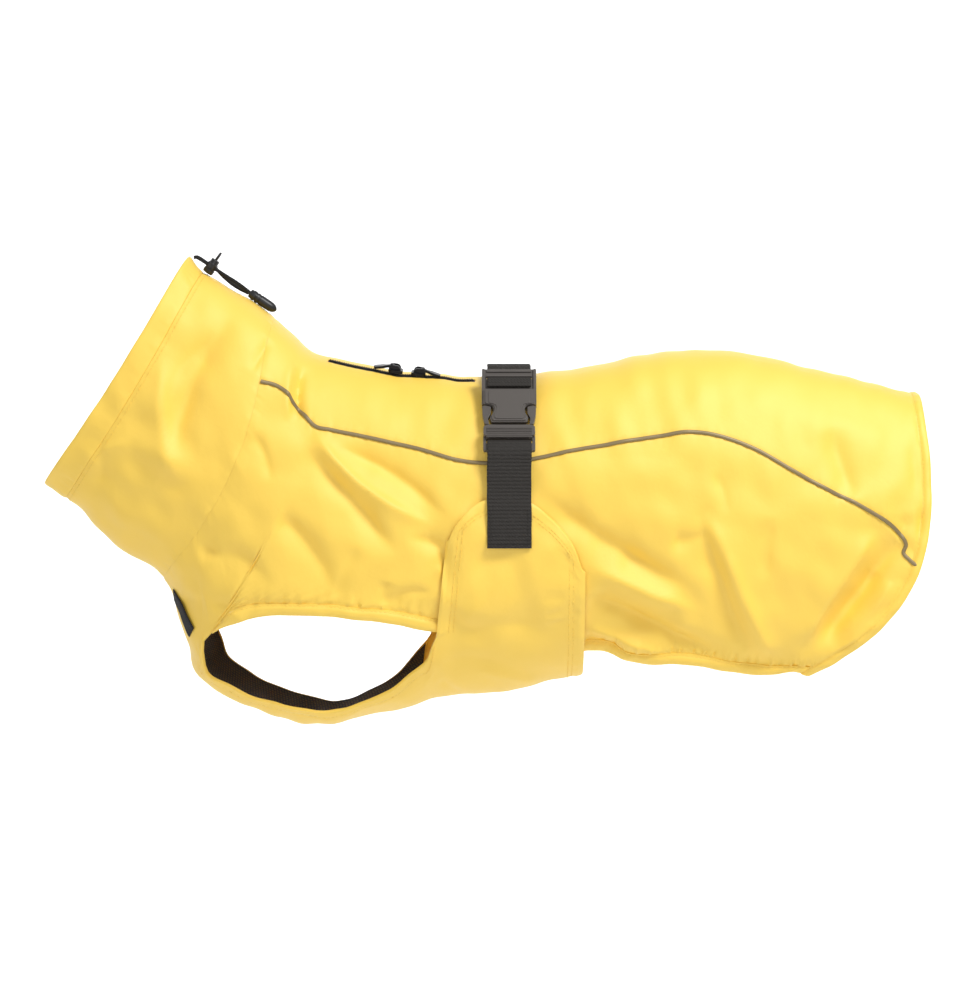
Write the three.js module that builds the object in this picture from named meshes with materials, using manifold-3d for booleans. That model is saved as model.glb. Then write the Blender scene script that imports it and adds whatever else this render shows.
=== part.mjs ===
// Raincoat for a medium dog, worn shape, 612 mm long over collar and skirt.
// Frame: millimetres, +Z up, -X to the head, +X to the tail, -Y is the dog's left.
// The origin lies on the inner face of the back's centre line, under the strap.
import * as THREE from 'three';
import Module from 'manifold-3d';
import { mergeVertices } from 'three/addons/utils/BufferGeometryUtils.js';

const wasm = await Module();
wasm.setup();

// Driving dimensions of cloth and trim.
const CLOTH = 1.5;            // wall of the coated shell cloth
const LINING_WALL = 1;        // mesh lining of the chest
const SEAM_GAP = 0.3;         // two cut pieces at a seam
const RING_GAP = 0.012;       // the same gap counted in sections, round the collar
const ROW_PROBE = 0.02;       // short step along the sections
const HEM_GROWTH = 0.14;      // sections over which the leg hem grows to its full width
const HEM_WIDTH = 8.5;        // bound edge of saddle and leg openings
const HEM_WALL = 2.5;         // folded binding, thicker than the cloth
const HEM_RISE = 0.5;         // binding stands proud of the cloth by this
const CASING_RISE = 0.6;      // drawcord casing stands proud of the collar
const PIPING_WIDTH = 3.2;
const PIPING_WALL = 1.5;
const BAND_LIFT = 3.0;        // outer face of the belly band above the saddle
const WEBBING_WIDTH = 30;
const WEBBING_WALL = 1.6;
const WEBBING_SEAT = 3.4;     // underside of the webbing above the saddle
const STRAP_X = -1;           // centre line of the strap
const BUCKLE = { y: -54.5, z: -20, tilt: THREE.MathUtils.degToRad(53) };
const BUCKLE_SEAT = 0.8;      // back of the buckle above its own plane
const ZIP_WALL = 2.2;
const ZIP_RISE = 0.8;         // chain above the cloth
const SLIDERS = [
  { name: 'front', x: -79.2, outward: -1 },
  { name: 'rear', x: -63.6, outward: 1 },
];
const PULL = { pinOut: 3, pinUp: 4.2, arm: 12.5, droop: THREE.MathUtils.degToRad(13) };
const STRAND = 1.4;           // radius of the drawcord
const CROWN_FLATNESS = 0.85;  // 1 is an ellipse, less is flatter on back and belly
const BOW_SHARPNESS = 1.25;

// Sections of the coat from the collar's rim to the rear edge. Each has its point
// on the back, its lowest point, its half width and how far it bows to the tail.
const SECTIONS = [
  { backX: -223, backZ: 85, lowX: -325, lowZ: -73, half: 50, bow: 4 },
  { backX: -213, backZ: 74, lowX: -309, lowZ: -83, half: 52, bow: 4 },
  { backX: -189, backZ: 59, lowX: -277, lowZ: -114, half: 60, bow: 9 },
  { backX: -164, backZ: 41, lowX: -243, lowZ: -139, half: 68, bow: 17 },
  { backX: -139, backZ: 20, lowX: -231, lowZ: -170, half: 73, bow: 15 },
  { backX: -119, backZ: 14, lowX: -217, lowZ: -209, half: 76, bow: 10 },
  { backX: -98, backZ: 9, lowX: -182, lowZ: -231, half: 78, bow: 6 },
  { backX: -73, backZ: 5, lowX: -133, lowZ: -243, half: 80, bow: 2 },
  { backX: -49, backZ: 2, lowX: -84, lowZ: -232, half: 80, bow: 0 },
  { backX: -28, backZ: 1, lowX: -51, lowZ: -220, half: 80, bow: 0 },
  { backX: 7, backZ: 2, lowX: -7, lowZ: -217, half: 80, bow: 0 },
  { backX: 53, backZ: 8, lowX: 53, lowZ: -204, half: 80, bow: 0 },
  { backX: 98, backZ: 17, lowX: 90, lowZ: -222, half: 80, bow: 3 },
  { backX: 147, backZ: 20, lowX: 120, lowZ: -228, half: 79, bow: 12 },
  { backX: 197, backZ: 10, lowX: 142, lowZ: -228, half: 77, bow: 26 },
  { backX: 242, backZ: 0, lowX: 158, lowZ: -225, half: 74, bow: 39 },
  { backX: 285, backZ: -13, lowX: 170, lowZ: -222, half: 70, bow: 50 },
];
const SEAM_CASING = 1;
const SEAM_COLLAR = 3;
const BAND_FRONT = 8.85;
const ZIP_END = 9.14;
const BAND_REAR = 10.95;
const REAR_EDGE = SECTIONS.length - 1;

// Reflective piping in the seam of back and side, seen from the side.
const PIPING_LINE = [
  { x: -170, z: 2 }, { x: -157, z: -3 }, { x: -144, z: -16 }, { x: -133, z: -28 },
  { x: -121, z: -31 }, { x: -98, z: -35.5 }, { x: -74, z: -40.5 }, { x: -53, z: -46 },
  { x: -36, z: -50.5 }, { x: -17, z: -52.5 }, { x: 14, z: -50 }, { x: 60, z: -41 },
  { x: 103, z: -34 }, { x: 123, z: -32 }, { x: 143, z: -35 }, { x: 167, z: -44 },
  { x: 190, z: -57 }, { x: 214, z: -70 }, { x: 238, z: -82 }, { x: 256, z: -93 },
  { x: 268, z: -106 }, { x: 279, z: -121 },
];
// Seam of side and under panel on the chest, down to the leg opening.
const LEG_CORNER = { x: -211, z: -178 };
const CHEST_LINE = [
  { x: -216, z: -93 }, { x: -215, z: -120 }, { x: -213, z: -150 }, LEG_CORNER,
];
// Lower edge of the side panel: top of the leg opening, the stretch behind the
// belly band, and the hem of the skirt.
const SIDE_LOW_LINE = [
  LEG_CORNER, { x: -205, z: -172 }, { x: -195, z: -166 }, { x: -178, z: -160 }, { x: -159, z: -157 },
  { x: -123, z: -157 }, { x: -98, z: -160 }, { x: -77, z: -163 }, { x: -52, z: -168 },
  { x: -22, z: -174 }, { x: 20, z: -181 }, { x: 52, z: -185 }, { x: 76, z: -189 },
  { x: 111, z: -193 }, { x: 144, z: -197 }, { x: 175, z: -200 }, { x: 202, z: -200 },
];
// Edge of the under panel below the leg opening, from the chest seam to the band.
const LEG_LOW_LINE = [
  LEG_CORNER, { x: -212, z: -190 }, { x: -209, z: -202 }, { x: -195, z: -211 },
  { x: -172, z: -221 }, { x: -141, z: -227 }, { x: -123, z: -228 }, { x: -103, z: -222 },
  { x: -85, z: -212 }, { x: -66, z: -195 }, { x: -57, z: -185 }, { x: -52, z: -170 },
];
// The same edge on the dog's right, cut a little deeper.
const RIGHT_LEG_LOW_LINE = [
  LEG_CORNER, { x: -207, z: -190 }, { x: -202, z: -202 }, { x: -188, z: -213 },
  { x: -168, z: -224 }, { x: -141, z: -232 }, { x: -123, z: -234 }, { x: -103, z: -229 },
  { x: -85, z: -218 }, { x: -66, z: -199 }, { x: -57, z: -187 }, { x: -52, z: -170 },
];
// Rounded top of the belly band's tab.
const TAB_LINE = [
  { x: -42, z: -104 }, { x: -38, z: -95 }, { x: -33, z: -89 }, { x: -26, z: -82 },
  { x: -17, z: -77 }, { x: 0, z: -74 }, { x: 14, z: -79 }, { x: 25, z: -87 },
  { x: 35, z: -97 }, { x: 43, z: -109 }, { x: 49, z: -126 },
];

// Largest folds, seen from the side: start, middle and end, half width and rise.
// A negative rise is a trough. Both sides of the coat have their own folds.
const LEFT_FOLDS = [
  { x1: -190, z1: 46, x2: -218, z2: 0, x3: -230, z3: -52, wide: 13, rise: -4 },
  { x1: -238, z1: 20, x2: -236, z2: -30, x3: -226, z3: -72, wide: 10, rise: 3.5 },
  { x1: -205, z1: -118, x2: -180, z2: -118, x3: -163, z3: -142, wide: 8, rise: -3.5 },
  { x1: -162, z1: -90, x2: -142, z2: -112, x3: -126, z3: -142, wide: 13, rise: -3.5 },
  { x1: -133, z1: -36, x2: -124, z2: -50, x3: -112, z3: -66, wide: 8, rise: 3 },
  { x1: -116, z1: -64, x2: -96, z2: -92, x3: -80, z3: -120, wide: 10, rise: -4.5 },
  { x1: -114, z1: -58, x2: -84, z2: -88, x3: -44, z3: -104, wide: 9, rise: 4 },
  { x1: -86, z1: -62, x2: -52, z2: -76, x3: -38, z3: -96, wide: 9, rise: -3.5 },
  { x1: -72, z1: -104, x2: -46, z2: -112, x3: -48, z3: -146, wide: 8, rise: -3 },
  { x1: 50, z1: -96, x2: 96, z2: -124, x3: 140, z3: -150, wide: 14, rise: -4.5 },
  { x1: 52, z1: -126, x2: 96, z2: -146, x3: 130, z3: -160, wide: 9, rise: 3 },
  { x1: 52, z1: -146, x2: 100, z2: -166, x3: 158, z3: -192, wide: 10, rise: -4 },
  { x1: 136, z1: -98, x2: 160, z2: -142, x3: 182, z3: -186, wide: 9, rise: 4.5 },
  { x1: 266, z1: -110, x2: 232, z2: -140, x3: 206, z3: -186, wide: 12, rise: -4 },
  { x1: 218, z1: -28, x2: 226, z2: -54, x3: 234, z3: -78, wide: 11, rise: -2.5 },
];
const RIGHT_FOLDS = [
  { x1: -196, z1: 50, x2: -222, z2: 8, x3: -238, z3: -40, wide: 13, rise: -4 },
  { x1: -240, z1: 8, x2: -236, z2: -34, x3: -220, z3: -80, wide: 10, rise: 3 },
  { x1: -200, z1: -112, x2: -178, z2: -116, x3: -166, z3: -140, wide: 9, rise: -3 },
  { x1: -168, z1: -84, x2: -144, z2: -106, x3: -132, z3: -146, wide: 12, rise: -3.5 },
  { x1: -124, z1: -44, x2: -116, z2: -58, x3: -100, z3: -72, wide: 9, rise: 3 },
  { x1: -110, z1: -70, x2: -90, z2: -94, x3: -78, z3: -126, wide: 11, rise: -4.5 },
  { x1: -104, z1: -56, x2: -80, z2: -80, x3: -46, z3: -92, wide: 9, rise: 3.5 },
  { x1: -70, z1: -98, x2: -50, z2: -116, x3: -50, z3: -150, wide: 8, rise: -3 },
  { x1: 52, z1: -88, x2: 102, z2: -112, x3: 150, z3: -152, wide: 14, rise: -4.5 },
  { x1: 54, z1: -120, x2: 92, z2: -136, x3: 120, z3: -158, wide: 10, rise: 3 },
  { x1: 54, z1: -150, x2: 108, z2: -160, x3: 150, z3: -188, wide: 10, rise: -3.5 },
  { x1: 144, z1: -92, x2: 172, z2: -140, x3: 186, z3: -182, wide: 9, rise: 4 },
  { x1: 262, z1: -104, x2: 240, z2: -144, x3: 214, z3: -182, wide: 12, rise: -4 },
  { x1: 206, z1: -30, x2: 220, z2: -56, x3: 224, z3: -84, wide: 11, rise: -2.5 },
];
const FOLD_STEPS = 8;

// Catmull-Rom value of one column of SECTIONS at the section number s.
function sectionValue(column, s) {
  const last = SECTIONS.length - 1;
  const k = Math.min(Math.max(Math.floor(s), 0), last - 1);
  const t = s - k;
  const at = (i) => SECTIONS[Math.min(Math.max(i, 0), last)][column];
  const [p0, p1, p2, p3] = [at(k - 1), at(k), at(k + 1), at(k + 2)];
  const bend = t * (2 * p0 - 5 * p1 + 4 * p2 - p3) + t * t * (3 * p1 - p0 - 3 * p2 + p3);
  return p1 + 0.5 * t * (p2 - p0 + bend);
}

// Side view of the coat: section s, fraction c of the way from back to belly.
function sidePoint(s, c) {
  const backX = sectionValue('backX', s);
  const backZ = sectionValue('backZ', s);
  const dx = sectionValue('lowX', s) - backX;
  const dz = sectionValue('lowZ', s) - backZ;
  const length = Math.hypot(dx, dz);
  const bow = sectionValue('bow', s) * Math.pow(Math.max(4 * c * (1 - c), 0), BOW_SHARPNESS);
  return { x: backX + dx * c - (dz / length) * bow, z: backZ + dz * c + (dx / length) * bow };
}

// Smooth form of the coat: section s, angle a from the back's centre, left positive.
function form(s, a) {
  const side = sidePoint(s, (1 - Math.cos(a)) / 2);
  const reach = Math.pow(Math.abs(Math.sin(a)), CROWN_FLATNESS) * Math.sign(Math.sin(a));
  return new THREE.Vector3(side.x, -sectionValue('half', s) * reach, side.z);
}

const PROBE = 1e-3;
const alongCoat = (s, a) => form(s + PROBE, a).sub(form(s - PROBE, a)).divideScalar(2 * PROBE);
const roundCoat = (s, a) => form(s, a + PROBE).sub(form(s, a - PROBE)).divideScalar(2 * PROBE);

function formNormal(s, a) {
  return roundCoat(s, a).cross(alongCoat(s, a)).normalize();
}

// Each fold as a short smooth path through its three points.
function foldPath(fold) {
  const points = [];
  const bendX = 2 * fold.x2 - (fold.x1 + fold.x3) / 2;
  const bendZ = 2 * fold.z2 - (fold.z1 + fold.z3) / 2;
  for (let k = 0; k <= FOLD_STEPS; k += 1) {
    const t = k / FOLD_STEPS;
    const [w1, w2, w3] = [(1 - t) ** 2, 2 * t * (1 - t), t * t];
    points.push({
      x: w1 * fold.x1 + w2 * bendX + w3 * fold.x3,
      z: w1 * fold.z1 + w2 * bendZ + w3 * fold.z3,
    });
  }
  return { ...fold, points };
}
const LEFT_PATHS = LEFT_FOLDS.map(foldPath);
const RIGHT_PATHS = RIGHT_FOLDS.map(foldPath);

// Height of one fold at a point of the side view: a soft ridge that fades at its ends.
function foldHeight(fold, x, z) {
  let nearest = Infinity;
  let place = 0;
  for (let k = 0; k < FOLD_STEPS; k += 1) {
    const [p, q] = [fold.points[k], fold.points[k + 1]];
    const [dx, dz] = [q.x - p.x, q.z - p.z];
    const t = Math.min(Math.max(((x - p.x) * dx + (z - p.z) * dz) / (dx * dx + dz * dz), 0), 1);
    const gap = Math.hypot(x - p.x - t * dx, z - p.z - t * dz);
    if (gap < nearest) {
      nearest = gap;
      place = (k + t) / FOLD_STEPS;
    }
  }
  return fold.rise * Math.exp(-((nearest / fold.wide) ** 2)) * Math.sqrt(Math.sin(Math.PI * place));
}

function relief(s, a) {
  const { x, z } = sidePoint(s, (1 - Math.cos(a)) / 2);
  const paths = Math.sin(a) >= 0 ? LEFT_PATHS : RIGHT_PATHS;
  const sideways = THREE.MathUtils.smoothstep(Math.abs(Math.sin(a)), 0, 0.4);
  return sideways * paths.reduce((sum, fold) => sum + foldHeight(fold, x, z), 0);
}

// Point of the draped coat at a height above its outer face.
function coatPoint(s, a, height) {
  return form(s, a).addScaledVector(formNormal(s, a), height + relief(s, a));
}

// Section number and angle of a point given in the side view.
function locate({ x, z }) {
  let [s, c, best] = [0, 0, Infinity];
  for (let i = 0; i <= 4 * REAR_EDGE; i += 1) {
    for (let j = 1; j < 20; j += 1) {
      const p = sidePoint(i / 4, j / 20);
      const gap = Math.hypot(p.x - x, p.z - z);
      if (gap < best) [s, c, best] = [i / 4, j / 20, gap];
    }
  }
  for (let round = 0; round < 20; round += 1) {
    const p = sidePoint(s, c);
    const ps = sidePoint(s + PROBE, c);
    const pc = sidePoint(s, c + PROBE);
    const [ax, az] = [(ps.x - p.x) / PROBE, (ps.z - p.z) / PROBE];
    const [bx, bz] = [(pc.x - p.x) / PROBE, (pc.z - p.z) / PROBE];
    const area = ax * bz - az * bx;
    s += 0.7 * (((x - p.x) * bz - (z - p.z) * bx) / area);
    c += 0.7 * (((z - p.z) * ax - (x - p.x) * az) / area);
    s = Math.min(Math.max(s, 0), REAR_EDGE);
    c = Math.min(Math.max(c, 0.002), 0.998);
  }
  return { s, a: Math.acos(1 - 2 * c) };
}

// A line of the side view as an angle that can be read at any section number.
function edgeOf(line) {
  const spots = line.map(locate);
  const curve = new THREE.CatmullRomCurve3(spots.map(({ s, a }) => new THREE.Vector3(s, a * 8, 0)));
  const fine = curve.getPoints(spots.length * 10).map((p) => ({ s: p.x, a: p.y / 8 }));
  return (s) => {
    const k = fine.findIndex((p) => p.s >= s);
    if (k === 0) return fine[0].a;
    if (k < 0) return fine[fine.length - 1].a;
    const [p, q] = [fine[k - 1], fine[k]];
    const t = (s - p.s) / Math.max(q.s - p.s, 1e-9);
    return p.a + (q.a - p.a) * t;
  };
}
const pipingAngle = edgeOf(PIPING_LINE);
const chestSeamAngle = edgeOf(CHEST_LINE);
const skirtAngle = edgeOf(SIDE_LOW_LINE);
const LEG_START = locate(LEG_CORNER).s;
const LEG_HEM_START = LEG_START + 0.06;
const ZIP_START = LEG_START;
const sideLowAngle = (s) => (s <= LEG_START ? chestSeamAngle(s) : skirtAngle(s));
const legLowAngle = edgeOf(LEG_LOW_LINE);
const rightLegLowAngle = edgeOf(RIGHT_LEG_LOW_LINE);
const tabAngle = edgeOf(TAB_LINE);
const BAND_CORNER = legLowAngle(BAND_FRONT);

// Angle step and section step that make a length on the coat.
const angleStep = (s, a, length) => length / roundCoat(s, a).length();
const sectionStep = (s, a, length) => length / alongCoat(s, a).length();

// Section numbers of the rows of cloth, closer where an edge turns quickly.
function rows(...stops) {
  const list = [stops[0].s];
  for (const { s, count } of stops.slice(1)) {
    const from = list[list.length - 1];
    for (let k = 1; k <= count; k += 1) list.push(from + ((s - from) * k) / count);
  }
  return list;
}
const FRONT_ROWS = rows(
  { s: SEAM_COLLAR }, { s: LEG_START, count: 4 }, { s: LEG_HEM_START, count: 1 },
  { s: 5.2, count: 2 }, { s: 8.2, count: 7 },
  { s: BAND_FRONT, count: 3 },
);
const SADDLE_ROWS = rows(
  { s: SEAM_COLLAR }, { s: LEG_START, count: 4 }, { s: LEG_HEM_START, count: 1 },
  { s: 5.2, count: 2 }, { s: 8.2, count: 7 },
  { s: BAND_FRONT, count: 3 }, { s: ZIP_END, count: 1 }, { s: BAND_REAR, count: 4 },
  { s: 15, count: 9 }, { s: REAR_EDGE, count: 2 },
);

// A row keeps its seam gap at the collar and makes room for the rear hem.
function rowAt(s, a) {
  if (s <= SEAM_COLLAR) return SEAM_COLLAR + sectionStep(SEAM_COLLAR, a, SEAM_GAP);
  const beforeHem = REAR_EDGE - 1;
  if (s <= beforeHem) return s;
  const inset = sectionStep(REAR_EDGE - 0.2, a, HEM_WIDTH + SEAM_GAP);
  return beforeHem + (s - beforeHem) * (1 - inset);
}

// Closed wall over a grid of points; place(i, j, face) gives the outer or inner point.
function wall(rowCount, columnCount, place, keeps = () => true) {
  const corners = [];
  const quad = (a, b, c, d) => corners.push(a, b, c, a, c, d);
  const kept = (i, j) => i >= 0 && j >= 0 && i < rowCount && j < columnCount && keeps(i, j);
  const points = new Map();
  const at = (i, j, face) => {
    const key = `${i},${j},${face}`;
    if (!points.has(key)) points.set(key, place(i, j, face));
    return points.get(key);
  };
  for (let i = 0; i < rowCount; i += 1) {
    for (let j = 0; j < columnCount; j += 1) {
      if (!kept(i, j)) continue;
      quad(at(i, j, 0), at(i, j + 1, 0), at(i + 1, j + 1, 0), at(i + 1, j, 0));
      quad(at(i, j, 1), at(i + 1, j, 1), at(i + 1, j + 1, 1), at(i, j + 1, 1));
      if (!kept(i - 1, j)) quad(at(i, j, 1), at(i, j + 1, 1), at(i, j + 1, 0), at(i, j, 0));
      if (!kept(i + 1, j)) {
        quad(at(i + 1, j, 0), at(i + 1, j + 1, 0), at(i + 1, j + 1, 1), at(i + 1, j, 1));
      }
      if (!kept(i, j - 1)) quad(at(i, j, 0), at(i + 1, j, 0), at(i + 1, j, 1), at(i, j, 1));
      if (!kept(i, j + 1)) {
        quad(at(i, j + 1, 1), at(i + 1, j + 1, 1), at(i + 1, j + 1, 0), at(i, j + 1, 0));
      }
    }
  }
  return facesOut(corners);
}

// Geometry from triangle corners, turned so that its faces point out.
function facesOut(corners) {
  let volume = 0;
  for (let k = 0; k < corners.length; k += 3) {
    volume += corners[k].dot(corners[k + 1].clone().cross(corners[k + 2]));
  }
  const order = volume < 0 ? [0, 2, 1] : [0, 1, 2];
  const position = [];
  for (let k = 0; k < corners.length; k += 3) {
    for (const turn of order) position.push(...corners[k + turn].toArray());
  }
  const geometry = new THREE.BufferGeometry();
  geometry.setAttribute('position', new THREE.Float32BufferAttribute(position, 3));
  geometry.computeVertexNormals();
  return geometry;
}

// Closed ring of cloth: the last column is the first one again.
function ringWall(rowCount, columnCount, place) {
  const corners = [];
  const quad = (a, b, c, d) => corners.push(a, b, c, a, c, d);
  for (let j = 0; j < columnCount; j += 1) {
    const next = (j + 1) % columnCount;
    for (let i = 0; i < rowCount; i += 1) {
      quad(place(i, j, 0), place(i, next, 0), place(i + 1, next, 0), place(i + 1, j, 0));
      quad(place(i, j, 1), place(i + 1, j, 1), place(i + 1, next, 1), place(i, next, 1));
    }
    quad(place(0, j, 1), place(0, next, 1), place(0, next, 0), place(0, j, 0));
    quad(place(rowCount, j, 0), place(rowCount, next, 0), place(rowCount, next, 1), place(rowCount, j, 1));
  }
  return facesOut(corners);
}

const coat = new THREE.Group();
const MATERIALS = {
  shell: { color: 0xf8dc5c, roughness: 0.55, metalness: 0 },
  piping: { color: 0x8d8779, roughness: 0.4, metalness: 0.3 },
  webbing: { color: 0x1b1b1d, roughness: 0.8, metalness: 0 },
  plastic: { color: 0x2b2b2d, roughness: 0.5, metalness: 0 },
  zip: { color: 0x17171a, roughness: 0.5, metalness: 0 },
  metal: { color: 0x1d1d20, roughness: 0.35, metalness: 0.8 },
  cord: { color: 0x151516, roughness: 0.85, metalness: 0 },
  lining: { color: 0x2a2726, roughness: 0.9, metalness: 0 },
  label: { color: 0x121214, roughness: 0.8, metalness: 0 },
};

function addPart(name, geometry, finish, parent = coat) {
  const mesh = new THREE.Mesh(geometry, new THREE.MeshStandardMaterial(MATERIALS[finish]));
  mesh.name = name;
  parent.add(mesh);
  return mesh;
}

const mix = (from, to, t) => from + (to - from) * t;
const SIDES = [{ name: 'left', sign: 1 }, { name: 'right', sign: -1 }];

// Angles round the collar seam, shared by the collar and the panels that meet it.
const BACK_COLUMNS = 5;       // from the zip's edge to the piping
const SIDE_COLUMNS = 7;
const CHEST_COLUMNS = 6;      // from the under panel's edge to its centre line
const TAB_COLUMNS = 6;        // from the band's corner to the tab's top
const ZIP_HALF = 3.5;
const ZIP_LEAN = 0.15;        // the zip lies this angle to the left of the crown
const zipAngle = (s, side) => ZIP_LEAN + side * angleStep(s, ZIP_LEAN, ZIP_HALF);
const chestAngle = sideLowAngle(SEAM_COLLAR);

function seamAngles() {
  const piping = pipingAngle(SEAM_COLLAR);
  const list = [];
  for (let k = 0; k < BACK_COLUMNS; k += 1) list.push(mix(zipAngle(3, 1), piping, k / BACK_COLUMNS));
  for (let k = 0; k < SIDE_COLUMNS; k += 1) list.push(mix(piping, chestAngle, k / SIDE_COLUMNS));
  const under = 2 * CHEST_COLUMNS;
  for (let k = 0; k < under; k += 1) list.push(mix(chestAngle, 2 * Math.PI - chestAngle, k / under));
  for (let k = 0; k < SIDE_COLUMNS; k += 1) {
    list.push(2 * Math.PI - mix(chestAngle, piping, k / SIDE_COLUMNS));
  }
  for (let k = 0; k <= BACK_COLUMNS; k += 1) {
    list.push(2 * Math.PI + mix(-piping, zipAngle(3, -1), k / BACK_COLUMNS));
  }
  return list;
}

// Collar: a drawcord casing at the rim and the wide neck piece below it.
function makeCollar() {
  const angles = seamAngles();
  const ring = (from, to, count, thick, rise) => ringWall(count, angles.length, (i, j, face) => {
    const s = mix(from, to, i / count);
    return coatPoint(s, angles[j], rise - face * thick);
  });
  addPart('collar_casing', ring(0, SEAM_CASING - RING_GAP, 1, CLOTH + 2 * CASING_RISE, CASING_RISE), 'shell');
  addPart('collar', ring(SEAM_CASING + RING_GAP, SEAM_COLLAR, 5, CLOTH, 0), 'shell');
}

// Back panel between the two lines of piping, with a slot for the zip.
function makeBack() {
  const columns = 2 * BACK_COLUMNS + 1;
  const place = (i, j, face) => {
    const s = SADDLE_ROWS[i];
    const side = j <= BACK_COLUMNS ? -1 : 1;
    const k = side < 0 ? BACK_COLUMNS - j : j - BACK_COLUMNS - 1;
    const edge = pipingAngle(s) - angleStep(s, pipingAngle(s), SEAM_GAP / 2);
    const a = mix(zipAngle(s, side), side * edge, k / BACK_COLUMNS);
    return coatPoint(rowAt(s, a), a, -face * CLOTH);
  };
  const first = SADDLE_ROWS.findIndex((s) => Math.abs(s - ZIP_START) < 1e-6);
  const last = SADDLE_ROWS.findIndex((s) => Math.abs(s - ZIP_END) < 1e-6);
  const keeps = (i, j) => j !== BACK_COLUMNS || i < first || i >= last;
  addPart('back_panel', wall(SADDLE_ROWS.length - 1, columns, place, keeps), 'shell');
}

// Width of the hem measured along the section, larger where the edge runs steeply.
function hemAngle(s, width) {
  const a = sideLowAngle(s);
  const slope = (sideLowAngle(s + ROW_PROBE) - sideLowAngle(s)) / ROW_PROBE;
  const steep = Math.min(Math.hypot(1, (slope * roundCoat(s, a).length()) / alongCoat(s, a).length()), 1.8);
  return a - angleStep(s, a, width * steep);
}

// The chest seam has no hem, and the leg opening's hem grows in from its end.
function lowerAngle(s) {
  const grown = THREE.MathUtils.smoothstep(s, LEG_START, LEG_START + HEM_GROWTH);
  return hemAngle(s, mix(SEAM_GAP / 2, HEM_WIDTH + SEAM_GAP, grown));
}

function makeSides() {
  for (const { name, sign } of SIDES) {
    const place = (i, j, face) => {
      const s = SADDLE_ROWS[i];
      const top = pipingAngle(s) + angleStep(s, pipingAngle(s), SEAM_GAP / 2);
      const a = mix(top, lowerAngle(s), j / SIDE_COLUMNS);
      return coatPoint(rowAt(s, a), sign * a, -face * CLOTH);
    };
    addPart(`side_panel_${name}`, wall(SADDLE_ROWS.length - 1, SIDE_COLUMNS, place), 'shell');
  }
}

// Strip of binding on the lower edge along rows of the saddle.
function lowerHem(sign, list) {
  return wall(list.length - 1, 1, (i, j, face) => {
    const s = list[i];
    const grown = THREE.MathUtils.smoothstep(s, LEG_START, LEG_START + HEM_GROWTH);
    const a = j === 0 ? hemAngle(s, HEM_WIDTH * grown) : sideLowAngle(s);
    return coatPoint(rowAt(s, a), sign * a, HEM_RISE - face * HEM_WALL);
  });
}

function makeHems() {
  const joint = SADDLE_ROWS.findIndex((s) => s > ZIP_END + 0.3);
  const legRows = SADDLE_ROWS.slice(0, joint + 1).filter((s) => s >= LEG_HEM_START);
  const skirtRows = [SADDLE_ROWS[joint] + 0.01, ...SADDLE_ROWS.slice(joint + 1)];
  for (const { name, sign } of SIDES) {
    addPart(`leg_hem_${name}`, lowerHem(sign, legRows), 'shell');
    addPart(`skirt_hem_${name}`, lowerHem(sign, skirtRows), 'shell');
  }
  const angles = rearAngles();
  addPart('rear_hem', wall(angles.length - 1, 1, (i, j, face) => {
    const s = REAR_EDGE - (j === 0 ? sectionStep(REAR_EDGE - 0.2, angles[i], HEM_WIDTH) : 0);
    return coatPoint(s, angles[i], HEM_RISE - face * HEM_WALL);
  }), 'shell');
}

// Angles round the rear edge, the same as the last row of the three panels there.
function rearAngles() {
  const piping = pipingAngle(REAR_EDGE);
  const inner = lowerAngle(REAR_EDGE);
  const left = [];
  for (let k = 0; k < BACK_COLUMNS; k += 1) {
    left.push(mix(zipAngle(REAR_EDGE, 1), piping, k / BACK_COLUMNS));
  }
  for (let k = 0; k <= SIDE_COLUMNS; k += 1) left.push(mix(piping, inner, k / SIDE_COLUMNS));
  left.push(sideLowAngle(REAR_EDGE));
  const right = left.map((a) => -a).reverse();
  right[right.length - 1] = zipAngle(REAR_EDGE, -1);
  for (let k = 1; k < BACK_COLUMNS; k += 1) {
    right[right.length - 1 - k] = mix(zipAngle(REAR_EDGE, -1), -piping, k / BACK_COLUMNS);
  }
  return [...right, ...left];
}

// The band lies outside the skirt, and the strip between the legs rises to it.
const bandLift = (s) => BAND_LIFT * THREE.MathUtils.smoothstep(s, 7.4, BAND_FRONT - 0.25);

// Angle of a column of the under panel, counted from its centre line.
function underAngle(s, atBand, k, legEdge) {
  const seam = s <= LEG_START ? chestSeamAngle(s) : legEdge(s);
  const inner = atBand ? BAND_CORNER : seam + angleStep(s, seam, SEAM_GAP / 2);
  if (k <= CHEST_COLUMNS) return mix(Math.PI, inner, k / CHEST_COLUMNS);
  return mix(BAND_CORNER, tabAngle(s), (k - CHEST_COLUMNS) / TAB_COLUMNS);
}

// Under panel: chest, strip between the legs and belly band with its two tabs.
function makeUnder() {
  const list = [...FRONT_ROWS, ...rows({ s: BAND_FRONT }, { s: BAND_REAR, count: 8 }).slice(1)];
  const front = FRONT_ROWS.length - 1;
  const half = CHEST_COLUMNS + TAB_COLUMNS;
  const place = (i, j, face) => {
    const s = Math.max(list[i], SEAM_COLLAR + RING_GAP);
    const a = underAngle(s, i >= front, Math.abs(j - half), j < half ? legLowAngle : rightLegLowAngle);
    return coatPoint(s, j < half ? a : 2 * Math.PI - a, bandLift(s) - face * CLOTH);
  };
  const keeps = (i, j) => i >= front || (j >= TAB_COLUMNS && j < half + CHEST_COLUMNS);
  addPart('under_panel', wall(list.length - 1, 2 * half, place, keeps), 'shell');
}

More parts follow.
